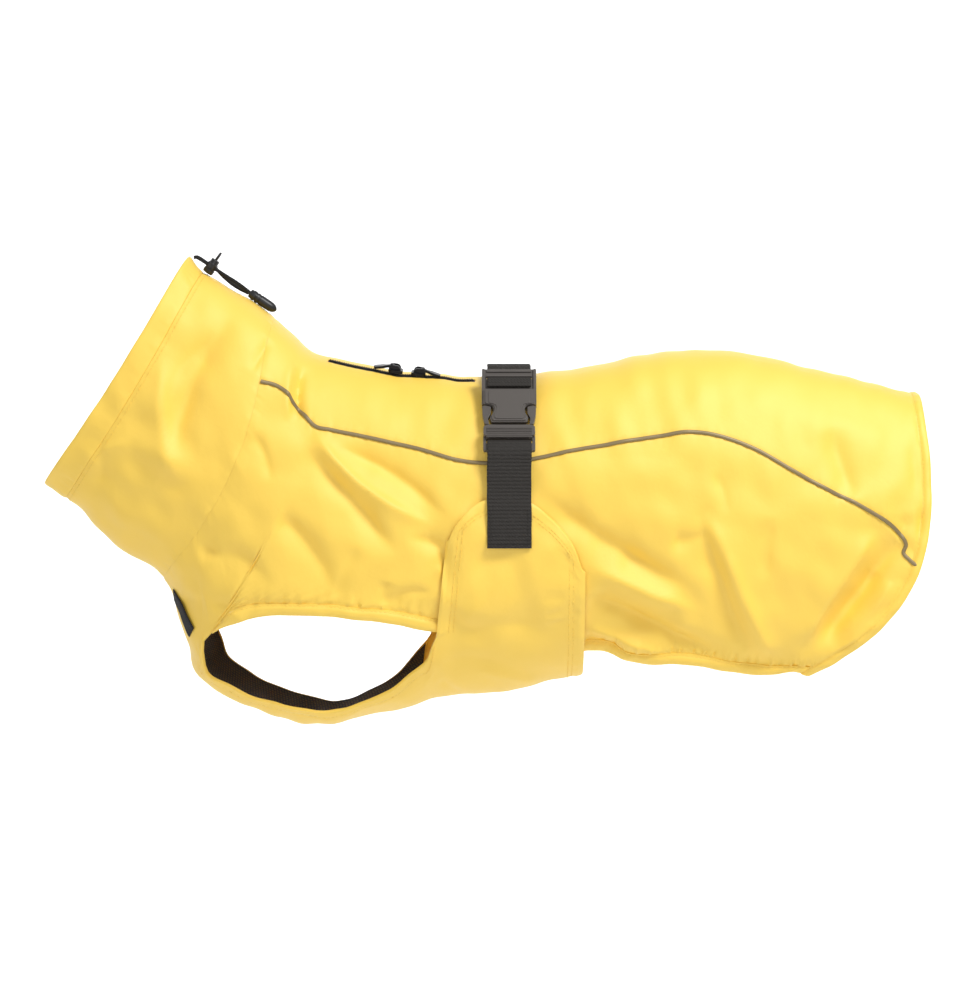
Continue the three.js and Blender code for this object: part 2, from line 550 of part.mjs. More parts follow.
// Mesh lining inside the chest and the strip, seen through the leg openings. It
// ends one column inside the turned edge of the shell.
function makeLining() {
  const list = FRONT_ROWS.slice(1, -2);
  const half = CHEST_COLUMNS - 1;
  const place = (i, j, face) => {
    const s = list[i];
    const a = underAngle(s, false, Math.abs(j - half), j < half ? legLowAngle : rightLegLowAngle);
    const depth = CLOTH + SEAM_GAP + face * LINING_WALL;
    return coatPoint(s, j < half ? a : 2 * Math.PI - a, bandLift(s) - depth);
  };
  addPart('lining_chest', wall(list.length - 1, 2 * half, place), 'lining');
}

// Flat strip that follows a line on the coat, with its width across the line.
function stripOn(spots, width, thick, seat) {
  const centre = spots.map(({ s, a }) => coatPoint(s, a, seat));
  const across = spots.map(({ s, a }, i) => {
    const along = centre[Math.min(i + 1, centre.length - 1)].clone().sub(centre[Math.max(i - 1, 0)]);
    return along.cross(formNormal(s, a)).normalize();
  });
  return wall(spots.length - 1, 1, (i, j, face) => {
    const normal = formNormal(spots[i].s, spots[i].a);
    const point = centre[i].clone().addScaledVector(across[i], (j - 0.5) * width);
    return point.addScaledVector(normal, (1 - face) * thick);
  });
}

function makePiping() {
  const list = rows(
    { s: SEAM_COLLAR + 0.03 }, { s: 5.2, count: 6 }, { s: 15, count: 22 }, { s: 15.7, count: 2 },
  );
  for (const { name, sign } of SIDES) {
    const spots = list.map((s) => ({ s, a: sign * pipingAngle(s) }));
    addPart(`piping_${name}`, stripOn(spots, PIPING_WIDTH, PIPING_WALL, SEAM_GAP), 'piping');
  }
}

// Ribbon of webbing across x, along points that give its underside in y and z.
function ribbon(points) {
  const normals = points.map((p, i) => {
    const q = points[Math.min(i + 1, points.length - 1)];
    const r = points[Math.max(i - 1, 0)];
    const length = Math.hypot(q.y - r.y, q.z - r.z);
    return { y: -(q.z - r.z) / length, z: (q.y - r.y) / length };
  });
  return wall(points.length - 1, 1, (i, j, face) => {
    const out = (1 - face) * WEBBING_WALL;
    const x = STRAP_X + (j - 0.5) * WEBBING_WIDTH;
    return new THREE.Vector3(x, points[i].y + normals[i].y * out, points[i].z + normals[i].z * out);
  });
}

// Underside of the webbing where it lies on one side of the coat, from z to z.
function strapOnCoat(sign, fromZ, toZ, count) {
  const points = [];
  for (let k = 0; k <= count; k += 1) {
    const { s, a } = locate({ x: STRAP_X, z: mix(fromZ, toZ, k / count) });
    const p = coatPoint(s, sign * a, WEBBING_SEAT).setX(0);
    points.push({ y: p.y, z: p.z });
  }
  return points;
}

// Point of the buckle's own plane, up the strap and out from the coat.
function onBuckle(up, out) {
  const [cos, sin] = [Math.cos(BUCKLE.tilt), Math.sin(BUCKLE.tilt)];
  return { y: BUCKLE.y + cos * up - sin * out, z: BUCKLE.z + sin * up + cos * out };
}

function makeWebbing() {
  const crown = [
    { y: -27, z: 8.3 }, { y: -17, z: 9 }, { y: -5, z: 8.8 }, { y: 7, z: 7.8 }, { y: 21, z: 4.8 },
  ];
  const near = [onBuckle(25.5, -1.8), onBuckle(33, -1.8), ...crown];
  const far = strapOnCoat(-1, -9, -112, 10);
  addPart('webbing_upper', ribbon([...near, ...far]), 'webbing');
  addPart('webbing_layer', ribbon([onBuckle(17.6, 5.4), onBuckle(21, 5.6), onBuckle(25, 5.4)]), 'webbing');
  const overBar = [onBuckle(-25.2, 1.6), onBuckle(-26, 4.4), onBuckle(-29, 4.9), onBuckle(-33.5, 4.2)];
  const taut = [{ y: -78.3, z: -52 }, { y: -79, z: -61 }];
  const low = strapOnCoat(1, -72, -109, 4);
  addPart('webbing_lower', ribbon([...overBar, ...taut, ...low].reverse()), 'webbing');
}

// Solid for joining and cutting, and back to a geometry.
function solidOf(geometry, matrix = new THREE.Matrix4()) {
  const bare = geometry.clone().applyMatrix4(matrix);
  bare.deleteAttribute('normal');
  bare.deleteAttribute('uv');
  const merged = mergeVertices(bare, 1e-4);
  return new wasm.Manifold(new wasm.Mesh({
    numProp: 3,
    vertProperties: merged.attributes.position.array,
    triVerts: Uint32Array.from(merged.index.array),
  }));
}

function geometryOf(solid) {
  const { vertProperties, triVerts } = solid.getMesh();
  const geometry = new THREE.BufferGeometry();
  geometry.setAttribute('position', new THREE.BufferAttribute(new Float32Array(vertProperties), 3));
  geometry.setIndex(new THREE.BufferAttribute(new Uint32Array(triVerts), 1));
  const flat = geometry.toNonIndexed();
  flat.computeVertexNormals();
  return flat;
}

const shift = (x, y, z) => new THREE.Matrix4().makeTranslation(x, y, z);

// Closed outline from corner points, each rounded by a short curve.
function outline(corners, round, Kind = THREE.Shape) {
  const shape = new Kind();
  corners.forEach(([x, y], i) => {
    const [px, py] = corners[(i + corners.length - 1) % corners.length];
    const [nx, ny] = corners[(i + 1) % corners.length];
    const before = round / Math.hypot(px - x, py - y);
    const after = round / Math.hypot(nx - x, ny - y);
    const start = [x + (px - x) * before, y + (py - y) * before];
    if (i === 0) shape.moveTo(...start);
    else shape.lineTo(...start);
    shape.quadraticCurveTo(x, y, x + (nx - x) * after, y + (ny - y) * after);
  });
  shape.closePath();
  return shape;
}

function plate(corners, round, thick, holes = [], curveSegments = 3) {
  const shape = outline(corners, round);
  shape.holes = holes.map((hole) => outline(hole, Math.min(round, 0.8), THREE.Path));
  return new THREE.ExtrudeGeometry(shape, { depth: thick, bevelEnabled: false, curveSegments });
}

const box = (x0, x1, y0, y1) => [[x0, y0], [x1, y0], [x1, y1], [x0, y1]];

// Outline from its half on the +x side, closed by the mirror image.
const mirrored = (half) => [...half, ...half.map(([x, y]) => [-x, y]).reverse()];

// Side release buckle, closed: a socket with a ladder end, and a plug with arms.
function makeBuckle() {
  const halfSocket = [
    [12, -11.7], [12.8, -8], [11, -4.5], [10.8, 0.4], [13.4, 3.2], [18.6, 3.6], [18.6, 15], [16.5, 17],
  ];
  const socket = mirrored(halfSocket);
  const ladder = box(-18.6, 18.6, 14.5, 33);
  const ladderHoles = [box(-15.6, 15.6, 24.8, 28.2)];
  const female = solidOf(plate(socket, 1.2, 8), shift(0, 0, BUCKLE_SEAT))
    .add(solidOf(plate(ladder, 2, 4.2, ladderHoles), shift(0, 0, BUCKLE_SEAT)));
  const halfArms = [
    [17.8, -22], [18.2, -12.1], [18, 2.8], [14.2, 2.6], [11.9, 0], [12, -4], [13.6, -8], [13.4, -12.1],
  ];
  const arms = mirrored(halfArms);
  const frame = box(-17.8, 17.8, -32, -19);
  const male = solidOf(plate(arms, 1, 6.4), shift(0, 0, BUCKLE_SEAT + 0.6))
    .add(solidOf(plate(frame, 2, 3, [box(-15.6, 15.6, -26.4, -22.4)]), shift(0, 0, BUCKLE_SEAT)));
  const place = (mesh) => {
    mesh.position.set(STRAP_X, BUCKLE.y, BUCKLE.z);
    mesh.rotation.x = BUCKLE.tilt;
  };
  place(addPart('buckle_socket', geometryOf(female), 'plastic'));
  place(addPart('buckle_plug', geometryOf(male), 'plastic'));
}

// Zip: tape and teeth in the slot, two sliders head to head, a pull on each.
function makeZip() {
  const list = SADDLE_ROWS.filter((s) => s >= ZIP_START && s <= ZIP_END + 1e-6);
  const ends = [list[0] + ROW_PROBE, ...list.slice(1, -1), list[list.length - 1] - ROW_PROBE];
  addPart('zip_chain', wall(ends.length - 1, 1, (i, j, face) => {
    const edge = zipAngle(ends[i], j === 0 ? -1 : 1);
    const a = edge + (j === 0 ? 1 : -1) * angleStep(ends[i], ZIP_LEAN, SEAM_GAP);
    return coatPoint(ends[i], a, ZIP_RISE - face * ZIP_WALL);
  }), 'zip');
  for (const { name, x, outward } of SLIDERS) {
    const group = new THREE.Group();
    coat.add(group);
    const s = sectionAtBack(x);
    const seat = coatPoint(s, ZIP_LEAN, ZIP_RISE + SEAM_GAP);
    const along = alongCoat(s, ZIP_LEAN).normalize().multiplyScalar(outward);
    const up = formNormal(s, ZIP_LEAN);
    const across = up.clone().cross(along).normalize();
    group.matrixAutoUpdate = false;
    group.matrix.makeBasis(along, across, up).setPosition(seat);
    addPart(`zip_slider_${name}`, sliderBody(), 'metal', group);
    addPart(`zip_pull_${name}`, pullTab(), 'metal', group);
  }
}

function sectionAtBack(x) {
  let [low, high] = [0, REAR_EDGE];
  for (let k = 0; k < 40; k += 1) {
    const middle = (low + high) / 2;
    if (sectionValue('backX', middle) < x) low = middle;
    else high = middle;
  }
  return low;
}

// Slider in its own axes: x outward along the zip, z up from the chain.
function sliderBody() {
  const base = [[-5, -3], [-3, -4.2], [3.5, -4.2], [5, -2.6], [5, 2.6], [3.5, 4.2], [-3, 4.2], [-5, 3]];
  let body = solidOf(plate(base, 0.8, 2.2));
  const lug = plate([[-3.8, 1.8], [-3, 4.2], [-1.4, 5.5], [3.4, 5.5], [4.6, 4.6], [4.8, 1.8]], 0.6, 1);
  const upright = new THREE.Matrix4().makeRotationX(Math.PI / 2);
  for (const y of [-2.1, 3.1]) body = body.add(solidOf(lug, shift(0, y, 0).multiply(upright)));
  const pin = new THREE.CylinderGeometry(0.7, 0.7, 5.6, 10);
  return geometryOf(body.add(solidOf(pin, shift(PULL.pinOut, 0, PULL.pinUp))));
}

// Pull: an eye round the pin, and an arm that widens to a grip, lying outward.
function pullTab() {
  const eye = new THREE.Shape();
  eye.absarc(0, 0, 1.7, 0, 2 * Math.PI);
  eye.holes.push(new THREE.Path().absarc(0, 0, 1.05, 0, 2 * Math.PI, true));
  const ring = new THREE.ExtrudeGeometry(eye, { depth: 3.2, bevelEnabled: false, curveSegments: 8 });
  const upright = new THREE.Matrix4().makeRotationX(Math.PI / 2);
  const arm = [[1.4, -1.3], [4, -1.3], [6, -2.6], [PULL.arm - 1, -2.6], [PULL.arm, -1.6]];
  const grip = [...arm, ...arm.map(([x, y]) => [x, -y]).reverse()];
  const tab = solidOf(ring, shift(0, 1.6, 0).multiply(upright))
    .add(solidOf(plate(grip, 0.6, 1.8), shift(0, 0, -0.9)));
  const lean = new THREE.Matrix4().makeRotationY(PULL.droop);
  const placed = shift(PULL.pinOut, 0, PULL.pinUp).multiply(lean);
  return geometryOf(solidOf(geometryOf(tab), placed));
}

// Drawcord: two strands leave the casing at the nape, pass the toggle and end in
// one stopper that lies on the nape.
const CORD_ROUTES = [
  {
    name: 'left',
    upper: [[-219.6, -3, 84.2], [-217.3, -3, 84.3], [-214, -2.8, 82.4], [-211.6, -2.6, 80.7]],
    lower: [
      [-203.4, -2.2, 75.4], [-197.5, -2.6, 71.6], [-190.5, -2.8, 67.2], [-184.5, -2.2, 62.8], [-181.2, -2, 60.1],
    ],
  },
  {
    name: 'right',
    upper: [[-219.6, 3, 84.2], [-217.3, 3, 84.3], [-214, 2.8, 82.4], [-211.6, 2.6, 80.7]],
    lower: [
      [-203.4, 2.2, 75.1], [-199, 3.6, 70.4], [-193.5, 4.2, 65.6], [-187.5, 3.4, 61.9], [-182.4, 2, 59.6],
    ],
  },
];
const TOGGLE = { x: -207.4, z: 78, tilt: 0.62, along: 7.4, tall: 11, wide: 12 };
const STOPPER = { fromX: -180.9, fromZ: 59.6, toX: -162.6, toZ: 47.2, radius: 4.2 };

function strand(points) {
  const path = new THREE.CatmullRomCurve3(points.map((p) => new THREE.Vector3(...p)));
  const section = new THREE.Shape();
  section.absarc(0, 0, STRAND, 0, 2 * Math.PI);
  const steps = points.length + 1;
  return new THREE.ExtrudeGeometry(section, { steps, curveSegments: 4, extrudePath: path });
}

function makeDrawcord() {
  for (const { name, upper, lower } of CORD_ROUTES) {
    addPart(`drawcord_${name}_upper`, strand(upper), 'cord');
    addPart(`drawcord_${name}_lower`, strand(lower), 'cord');
  }
  const { tall, wide, along } = TOGGLE;
  const outline = box(-tall / 2, tall / 2, -wide / 2, wide / 2);
  const body = solidOf(plate(outline, 3, along), shift(0, 0, -along / 2));
  const ring = new THREE.TorusGeometry(3.2, 0.9, 6, 16);
  const joined = body.add(solidOf(ring, shift(tall / 2 + 2.6, 0, 0)));
  const toggle = addPart('toggle', geometryOf(joined), 'plastic');
  toggle.position.set(TOGGLE.x, 0, TOGGLE.z);
  toggle.rotation.y = -Math.PI / 2 + TOGGLE.tilt;
  const start = new THREE.Vector3(STOPPER.fromX, 0, STOPPER.fromZ);
  const along3 = new THREE.Vector3(STOPPER.toX, 0, STOPPER.toZ).sub(start);
  const length = along3.length();
  const r = STOPPER.radius;
  const profile = [
    [0, 0], [r * 0.85, 0], [r, 1.2], [r, length - 5], [r * 0.8, length - 1.6], [r * 0.4, length], [0, length],
  ];
  const turned = new THREE.LatheGeometry(profile.map(([x, y]) => new THREE.Vector2(x, y)), 16);
  const stopper = addPart('cord_end', turned, 'plastic');
  stopper.position.copy(start);
  stopper.quaternion.setFromUnitVectors(new THREE.Vector3(0, 1, 0), along3.normalize());
}

// Woven label on the left of the chest, bare.
function makeLabel() {
  const [top, low] = [{ x: -233, z: -151 }, { x: -219.5, z: -172 }];
  const spots = [];
  for (let k = 0; k <= 4; k += 1) {
    spots.push(locate({ x: mix(top.x, low.x, k / 4), z: mix(top.z, low.z, k / 4) }));
  }
  addPart('label', stripOn(spots, 11, 1, SEAM_GAP + 0.2), 'label');
}

makeCollar();
makeBack();
makeSides();
makeHems();
makeUnder();
makeLining();
makePiping();
makeWebbing();
makeBuckle();
makeZip();
makeDrawcord();
makeLabel();

export default coat;
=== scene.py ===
# %% [markdown]
# # A raincoat for a medium dog
# The coat is worn-shaped cloth: a wide collar, a saddle over the back, and an under
# panel that runs between the forelegs and closes as a belly band. Every piece lies on
# one smooth form, so the form is written once as a function of two numbers, and each
# piece of cloth is a patch of it. That keeps seams together without any fitting.

# %% Load the frame
import math

import bpy
import numpy as np
from mathutils import Matrix, Vector


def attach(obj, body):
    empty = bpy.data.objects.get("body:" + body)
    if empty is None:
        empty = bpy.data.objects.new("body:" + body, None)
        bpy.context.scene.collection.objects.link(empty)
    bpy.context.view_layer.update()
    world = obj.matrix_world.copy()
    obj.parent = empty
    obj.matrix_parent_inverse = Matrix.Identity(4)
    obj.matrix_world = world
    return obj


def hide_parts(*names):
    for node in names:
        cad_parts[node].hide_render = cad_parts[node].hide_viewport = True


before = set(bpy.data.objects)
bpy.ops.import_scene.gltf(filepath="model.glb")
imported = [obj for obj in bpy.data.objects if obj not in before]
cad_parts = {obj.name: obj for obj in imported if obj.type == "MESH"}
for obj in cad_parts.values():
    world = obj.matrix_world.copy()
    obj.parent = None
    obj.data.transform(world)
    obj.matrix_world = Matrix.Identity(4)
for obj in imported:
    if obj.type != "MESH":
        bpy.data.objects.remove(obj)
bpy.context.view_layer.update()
MM = 0.001
print("nodes:", len(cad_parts))

# %% [markdown]
# ## Camera
# The photograph looks square at the dog's left side from a little above. A long lens
# at about two metres gives the same slight convergence toward collar and tail.

# %% Camera
def place_object(name, data):
    placed = bpy.data.objects.new(name, data)
    bpy.context.scene.collection.objects.link(placed)
    return placed


DISTANCE = 2.2
RISE = math.radians(6)
AIM = Vector((-0.014, 0.0, -0.0786))
VIEW_WIDTH = 0.686


def add_camera():
    """A long lens that looks along +Y and a little down at the coat's middle."""
    data = bpy.data.cameras.new("camera")
    data.sensor_fit = "HORIZONTAL"
    data.sensor_width = 36
    data.lens = 36 * DISTANCE / VIEW_WIDTH
    camera = place_object("camera", data)
    camera.location = AIM + DISTANCE * Vector((0, -math.cos(RISE), math.sin(RISE)))
    camera.rotation_euler = (math.pi / 2 - RISE, 0, 0)
    bpy.context.scene.camera = camera


add_camera()

# %% [markdown]
# ## The form of the coat
# Seen from the side, the coat is a row of sections from the collar's rim to the rear
# edge. Each has a point on the back, a lowest point, a half width, and a bow toward
# the tail. A smooth curve through the rows gives every section between them.

# %% Sections
# Columns: back x, back z, lowest x, lowest z, half width, bow, all in millimetres.
SECTIONS = np.array([
    (-223, 85, -325, -73, 50, 4),
    (-213, 74, -309, -83, 52, 4),
    (-189, 59, -277, -114, 60, 9),
    (-164, 41, -243, -139, 68, 17),
    (-139, 20, -231, -170, 73, 15),
    (-119, 14, -217, -209, 76, 10),
    (-98, 9, -182, -231, 78, 6),
    (-73, 5, -133, -243, 80, 2),
    (-49, 2, -84, -232, 80, 0),
    (-28, 1, -51, -220, 80, 0),
    (7, 2, -7, -217, 80, 0),
    (53, 8, 53, -204, 80, 0),
    (98, 17, 90, -222, 80, 3),
    (147, 20, 120, -228, 79, 12),
    (197, 10, 142, -228, 77, 26),
    (242, 0, 158, -225, 74, 39),
    (285, -13, 170, -222, 70, 50),
], float)
CROWN_FLATNESS = 0.85
BOW_SHARPNESS = 1.25
SEAM_CASING = 1.0
SEAM_COLLAR = 3.0
REAR_EDGE = len(SECTIONS) - 1.0
print("sections:", len(SECTIONS))


def section_values(s):
    """Catmull-Rom value of all columns at section numbers s."""
    s = np.asarray(s, float)
    last = len(SECTIONS) - 1
    k = np.clip(np.floor(s).astype(int), 0, last - 1)
    t = (s - k)[..., None]
    p0, p1, p2, p3 = (SECTIONS[np.clip(k + step, 0, last)] for step in (-1, 0, 1, 2))
    bend = t * (2 * p0 - 5 * p1 + 4 * p2 - p3) + t * t * (3 * p1 - p0 - 3 * p2 + p3)
    return p1 + 0.5 * t * (p2 - p0 + bend)


def side_point(s, c):
    """Side view x and z: straight from back to belly by the fraction c, plus the bow."""
    value = section_values(s)
    dx, dz = value[..., 2] - value[..., 0], value[..., 3] - value[..., 1]
    length = np.hypot(dx, dz)
    bow = value[..., 5] * np.maximum(4 * c * (1 - c), 0) ** BOW_SHARPNESS
    return value[..., 0] + dx * c - dz / length * bow, value[..., 1] + dz * c + dx / length * bow


def form(s, a):
    """Smooth form: x, z from the side view, y the half width times |sin a|^flatness."""
    s, a = np.broadcast_arrays(np.asarray(s, float), np.asarray(a, float))
    x, z = side_point(s, (1 - np.cos(a)) / 2)
    reach = np.abs(np.sin(a)) ** CROWN_FLATNESS * np.sign(np.sin(a))
    return np.stack([x, -section_values(s)[..., 4] * reach, z], -1)


PROBE = 1e-3


def unit(vectors):
    return vectors / np.linalg.norm(vectors, axis=-1, keepdims=True)


def running_length(points):
    steps = np.linalg.norm(np.diff(points, axis=0), axis=-1)
    return np.r_[0, np.cumsum(steps)]


def along_coat(s, a):
    return (form(s + PROBE, a) - form(s - PROBE, a)) / (2 * PROBE)


def round_coat(s, a):
    return (form(s, a + PROBE) - form(s, a - PROBE)) / (2 * PROBE)


def form_normal(s, a):
    """Outward direction: the way round crossed with the way along."""
    return unit(np.cross(round_coat(s, a), along_coat(s, a)))


def section_length(s, a):
    return np.linalg.norm(along_coat(s, a), axis=-1)


def angle_length(s, a):
    return np.linalg.norm(round_coat(s, a), axis=-1)


def section_step(s, a, length):
    return length / section_length(s, a)


def angle_step(s, a, length):
    return length / angle_length(s, a)


# %% [markdown]
# ## Folds
# The shell is light, coated and a little stiff, so it breaks into long soft troughs
# and a few sharper ridges. Each fold is a short smooth path through three points of
# the side view, with a half width and a rise. Placing them one by one keeps them
# uneven, as they are on the real coat, and the far side has its own set.

# %% Folds
# Columns: three points x, z along the fold and half width in millimetres, then the rise
# in the unit that relief() gives it; less than 0 is a trough.
LEFT_MAIN = [
    (-190, 46, -218, 0, -230, -52, 13, -4),
    (-238, 20, -236, -30, -226, -72, 10, 3.5),
    (-205, -118, -180, -118, -163, -142, 10, -2.4),
    (-160, -88, -138, -106, -119, -144, 11, -3.5),
    (-141, -42, -108, -76, -76, -116, 9, -3.6),
    (-134, -31, -102, -67, -50, -95, 6, 3.2),
    (-122, -41, -78, -60, -41, -94, 9, -3.4),
    (-72, -104, -46, -112, -48, -146, 8, -3),
    (14, -68, 68, -108, 128, -142, 13, -4.5),
    (52, -122, 90, -138, 130, -156, 8, 3.2),
    (52, -142, 96, -164, 150, -190, 10, -4.5),
    (132, -84, 156, -140, 180, -188, 10, 4.2),
    (124, -80, 144, -136, 164, -184, 9, -3.2),
    (270, -100, 240, -138, 208, -184, 13, -5.5),
    (250, -98, 222, -138, 198, -180, 8, 3),
    (218, -28, 226, -54, 234, -78, 11, -2.5),
]
RIGHT_MAIN = [
    (-196, 50, -222, 8, -238, -40, 13, -4),
    (-240, 8, -236, -34, -220, -80, 10, 3),
    (-200, -112, -178, -116, -166, -140, 9, -3),
    (-168, -84, -144, -106, -132, -146, 12, -3.5),
    (-124, -44, -116, -58, -100, -72, 9, 3),
    (-110, -70, -90, -94, -78, -126, 11, -4.5),
    (-104, -56, -80, -80, -46, -92, 9, 3.5),
    (-70, -98, -50, -116, -50, -150, 8, -3),
    (52, -88, 102, -112, 150, -152, 14, -4.5),
    (54, -120, 92, -136, 120, -158, 10, 3),
    (54, -150, 108, -160, 150, -188, 10, -3.5),
    (144, -92, 172, -140, 186, -182, 9, 4),
    (262, -104, 240, -144, 214, -182, 12, -4),
    (206, -30, 220, -56, 224, -84, 11, -2.5),
]
LEFT_FINE = [
    (-196, 34, -224, 12, -232, -20, 5, -0.9),
    (-280, -46, -272, -43, -258, -40, 4, 0.8),
    (-277, -46, -280, -58, -279, -70, 5, -1.0),
    (-164, 30, -170, 20, -176, 8, 5, -1.2),
    (-176, -32, -167, -46, -163, -66, 6, -1.6),
    (-214, -116, -206, -114, -202, -119, 5, -1.4),
    (-228, -146, -218, -150, -208, -150, 8, -1.2),
    (-204, -154, -196, -150, -184, -154, 4, -1.0),
    (-192, -150, -186, -158, -180, -160, 4, 0.9),
    (-84, -154, -72, -140, -52, -142, 5, -1.4),
    (-88, -150, -86, -140, -84, -132, 5, -1.0),
    (-120, -150, -112, -126, -102, -108, 6, -1.2),
    (-50, -120, -46, -132, -48, -150, 4, 1.2),
    (52, -166, 76, -174, 112, -188, 5, 2.0),
    (50, -176, 60, -178, 80, -183, 7, -2.4),
    (138, -58, 144, -72, 146, -88, 4, -0.8),
    (108, -104, 120, -104, 136, -98, 7, -1.6),
    (176, -88, 174, -108, 172, -132, 7, -1.2),
    (270, -88, 268, -96, 262, -104, 6, -1.6),
    (252, -128, 238, -148, 214, -180, 5, -1.5),
    (258, -132, 250, -148, 230, -172, 5, 1.0),
    (262, -150, 236, -172, 216, -186, 4, 1.4),
    (276, -86, 280, -94, 276, -104, 5, -1.2),
    (272, -42, 276, -58, 274, -76, 6, -0.9),
    (-148, 14, -152, -4, -150, -26, 4, 1.5),
    (-141, 12, -144, -8, -141, -24, 4, -2.2),
    (-26, -194, -2, -199, 20, -205, 4, 0.8),
    (-50, -202, -42, -208, -34, -216, 5, -1.0),
]
RIGHT_FINE = [
    (-200, 30, -226, 8, -234, -24, 5, -0.9),
    (-276, -38, -268, -40, -256, -34, 4, 0.8),
    (-168, 28, -172, 16, -178, 2, 5, -1.2),
    (-176, -36, -170, -54, -162, -70, 6, -1.6),
    (-210, -120, -204, -117, -198, -122, 5, -1.2),
    (-198, -156, -190, -150, -180, -152, 4, -1.0),
    (-90, -150, -76, -138, -58, -140, 5, -1.3),
    (-116, -148, -110, -124, -98, -104, 6, -1.2),
    (56, -166, 82, -172, 116, -186, 5, 1.8),
    (120, -94, 132, -100, 142, -108, 8, -1.3),
    (256, -148, 236, -168, 220, -180, 4, 1.4),
    (264, -48, 268, -62, 266, -80, 6, -0.9),
    (-152, 12, -156, -6, -152, -24, 4, 1.4),
    (-20, -192, 4, -200, 24, -203, 4, 0.8),
]
FOLD_STEPS = 8
# Crest radius and the width of the two flanks, as shares of the half width.
CREST = 0.36
FLANKS = (1.15, 0.75)


def fold_height(row, x, z):
    """Rise * exp(-1.5 (sqrt(d^2 + crest^2) - crest)) * (1 - (2 place - 1)^4)^2.

    d is the distance over the half width. The flanks run straight to a narrow crest, as
    coated cloth folds, and one flank is steeper than the other.
    """
    x1, z1, x2, z2, x3, z3, wide, rise = row
    height = np.zeros_like(x)
    reach = 3.2 * wide
    near = (x > min(x1, x2, x3) - reach) & (x < max(x1, x2, x3) + reach)
    near &= (z > min(z1, z2, z3) - reach) & (z < max(z1, z2, z3) + reach)
    if not near.any():
        return height
    px, pz = x[near], z[near]
    t = np.linspace(0, 1, FOLD_STEPS + 1)
    w1, w2, w3 = (1 - t) ** 2, 2 * t * (1 - t), t * t
    bx, bz = 2 * x2 - (x1 + x3) / 2, 2 * z2 - (z1 + z3) / 2
    cx, cz = w1 * x1 + w2 * bx + w3 * x3, w1 * z1 + w2 * bz + w3 * z3
    best = np.full(px.shape, 1e9)
    place, beside = np.zeros(px.shape), np.zeros(px.shape)
    for k in range(FOLD_STEPS):
        dx, dz = cx[k + 1] - cx[k], cz[k + 1] - cz[k]
        u = np.clip(((px - cx[k]) * dx + (pz - cz[k]) * dz) / (dx * dx + dz * dz), 0, 1)
        gap = np.hypot(px - cx[k] - u * dx, pz - cz[k] - u * dz)
        closer = gap < best
        best = np.where(closer, gap, best)
        place = np.where(closer, (k + u) / FOLD_STEPS, place)
        beside = np.where(closer, np.sign((px - cx[k]) * dz - (pz - cz[k]) * dx), beside)
    d = best / (wide * np.where(beside > 0, FLANKS[0], FLANKS[1]))
    fall = np.exp(-1.5 * (np.sqrt(d * d + CREST * CREST) - CREST))
    height[near] = rise * fall * (1 - (2 * place - 1) ** 4) ** 2
    return height


def smooth(x, low, high):
    """Zero below low, one above high, an S curve between."""
    t = np.clip((x - low) / (high - low), 0, 1)
    return t * t * (3 - 2 * t)


RIPPLES = np.random.default_rng(7)
RIPPLE_COUNT = 36
RIPPLE_WAVES = np.stack([
    RIPPLES.uniform(0.08, 0.34, RIPPLE_COUNT),
    RIPPLES.uniform(0, np.pi, RIPPLE_COUNT),
    RIPPLES.uniform(0, 2 * np.pi, RIPPLE_COUNT),
], -1)
RIPPLE_RISE = 0.22


def ripple(x, y, z):
    """Slack in the cloth: waves of 18 to 80 mm in many directions, added up."""
    total = np.zeros_like(x)
    along = z + 0.35 * np.abs(y)
    for rate, turn, phase in RIPPLE_WAVES:
        total += np.sin(rate * (x * np.cos(turn) + along * np.sin(turn)) + phase) / (0.6 + 6 * rate)
    return RIPPLE_RISE * total


# Columns: turn of the crease lines, waves per mm, phase, patch rate, patch phase, rise.
CREASES = [
    (0.6, 0.062, 0.4, 0.021, 0.5, 0.8),
    (2.2, 0.071, 1.9, 0.025, 2.4, 0.8),
    (1.3, 0.095, 3.1, 0.031, 4.1, 0.6),
    (2.8, 0.083, 5.0, 0.027, 1.2, 0.7),
    (0.2, 0.118, 2.2, 0.036, 3.3, 0.5),
]


def creases(x, y, z):
    """Storage creases: rise * |sin| lines, sharp at the bottom, each kept to patches."""
    total = np.zeros_like(x)
    along = z + 0.35 * np.abs(y)
    for turn, rate, phase, patch, patch_phase, rise in CREASES:
        over = x * np.cos(turn) + along * np.sin(turn)
        beside = along * np.cos(turn) - x * np.sin(turn)
        bent = over + 9 * np.sin(0.035 * beside + phase)
        line = np.sqrt(np.sin(rate * bent + phase) ** 2 + 0.012) - 0.6
        where = np.sin(patch * over + patch_phase) * np.sin(1.3 * patch * beside + 2 * patch_phase)
        total += rise * line * smooth(where, 0.05, 0.6)
    return total


# Millimetres for each unit of the rise column: main folds, fine folds.
MAIN_RISE_UNIT = 1.9
FINE_RISE_UNIT = 2.0


def relief(s, a, fine=True):
    """Height of all folds at a place; it fades to nothing at back and belly."""
    p = form(s, a)
    x, y, z = p[..., 0], p[..., 1], p[..., 2]
    left = y <= 0
    main = MAIN_RISE_UNIT * sum(fold_height(row, x, z) for row in LEFT_MAIN) * left
    main = main + MAIN_RISE_UNIT * sum(fold_height(row, x, z) for row in RIGHT_MAIN) * ~left
    if fine:
        main = main + FINE_RISE_UNIT * sum(fold_height(row, x, z) for row in LEFT_FINE) * left
        main = main + FINE_RISE_UNIT * sum(fold_height(row, x, z) for row in RIGHT_FINE) * ~left
    height = main * smooth(np.abs(np.sin(a)), 0, 0.4)
    return height + ripple(x, y, z) + creases(x, y, z) if fine else height


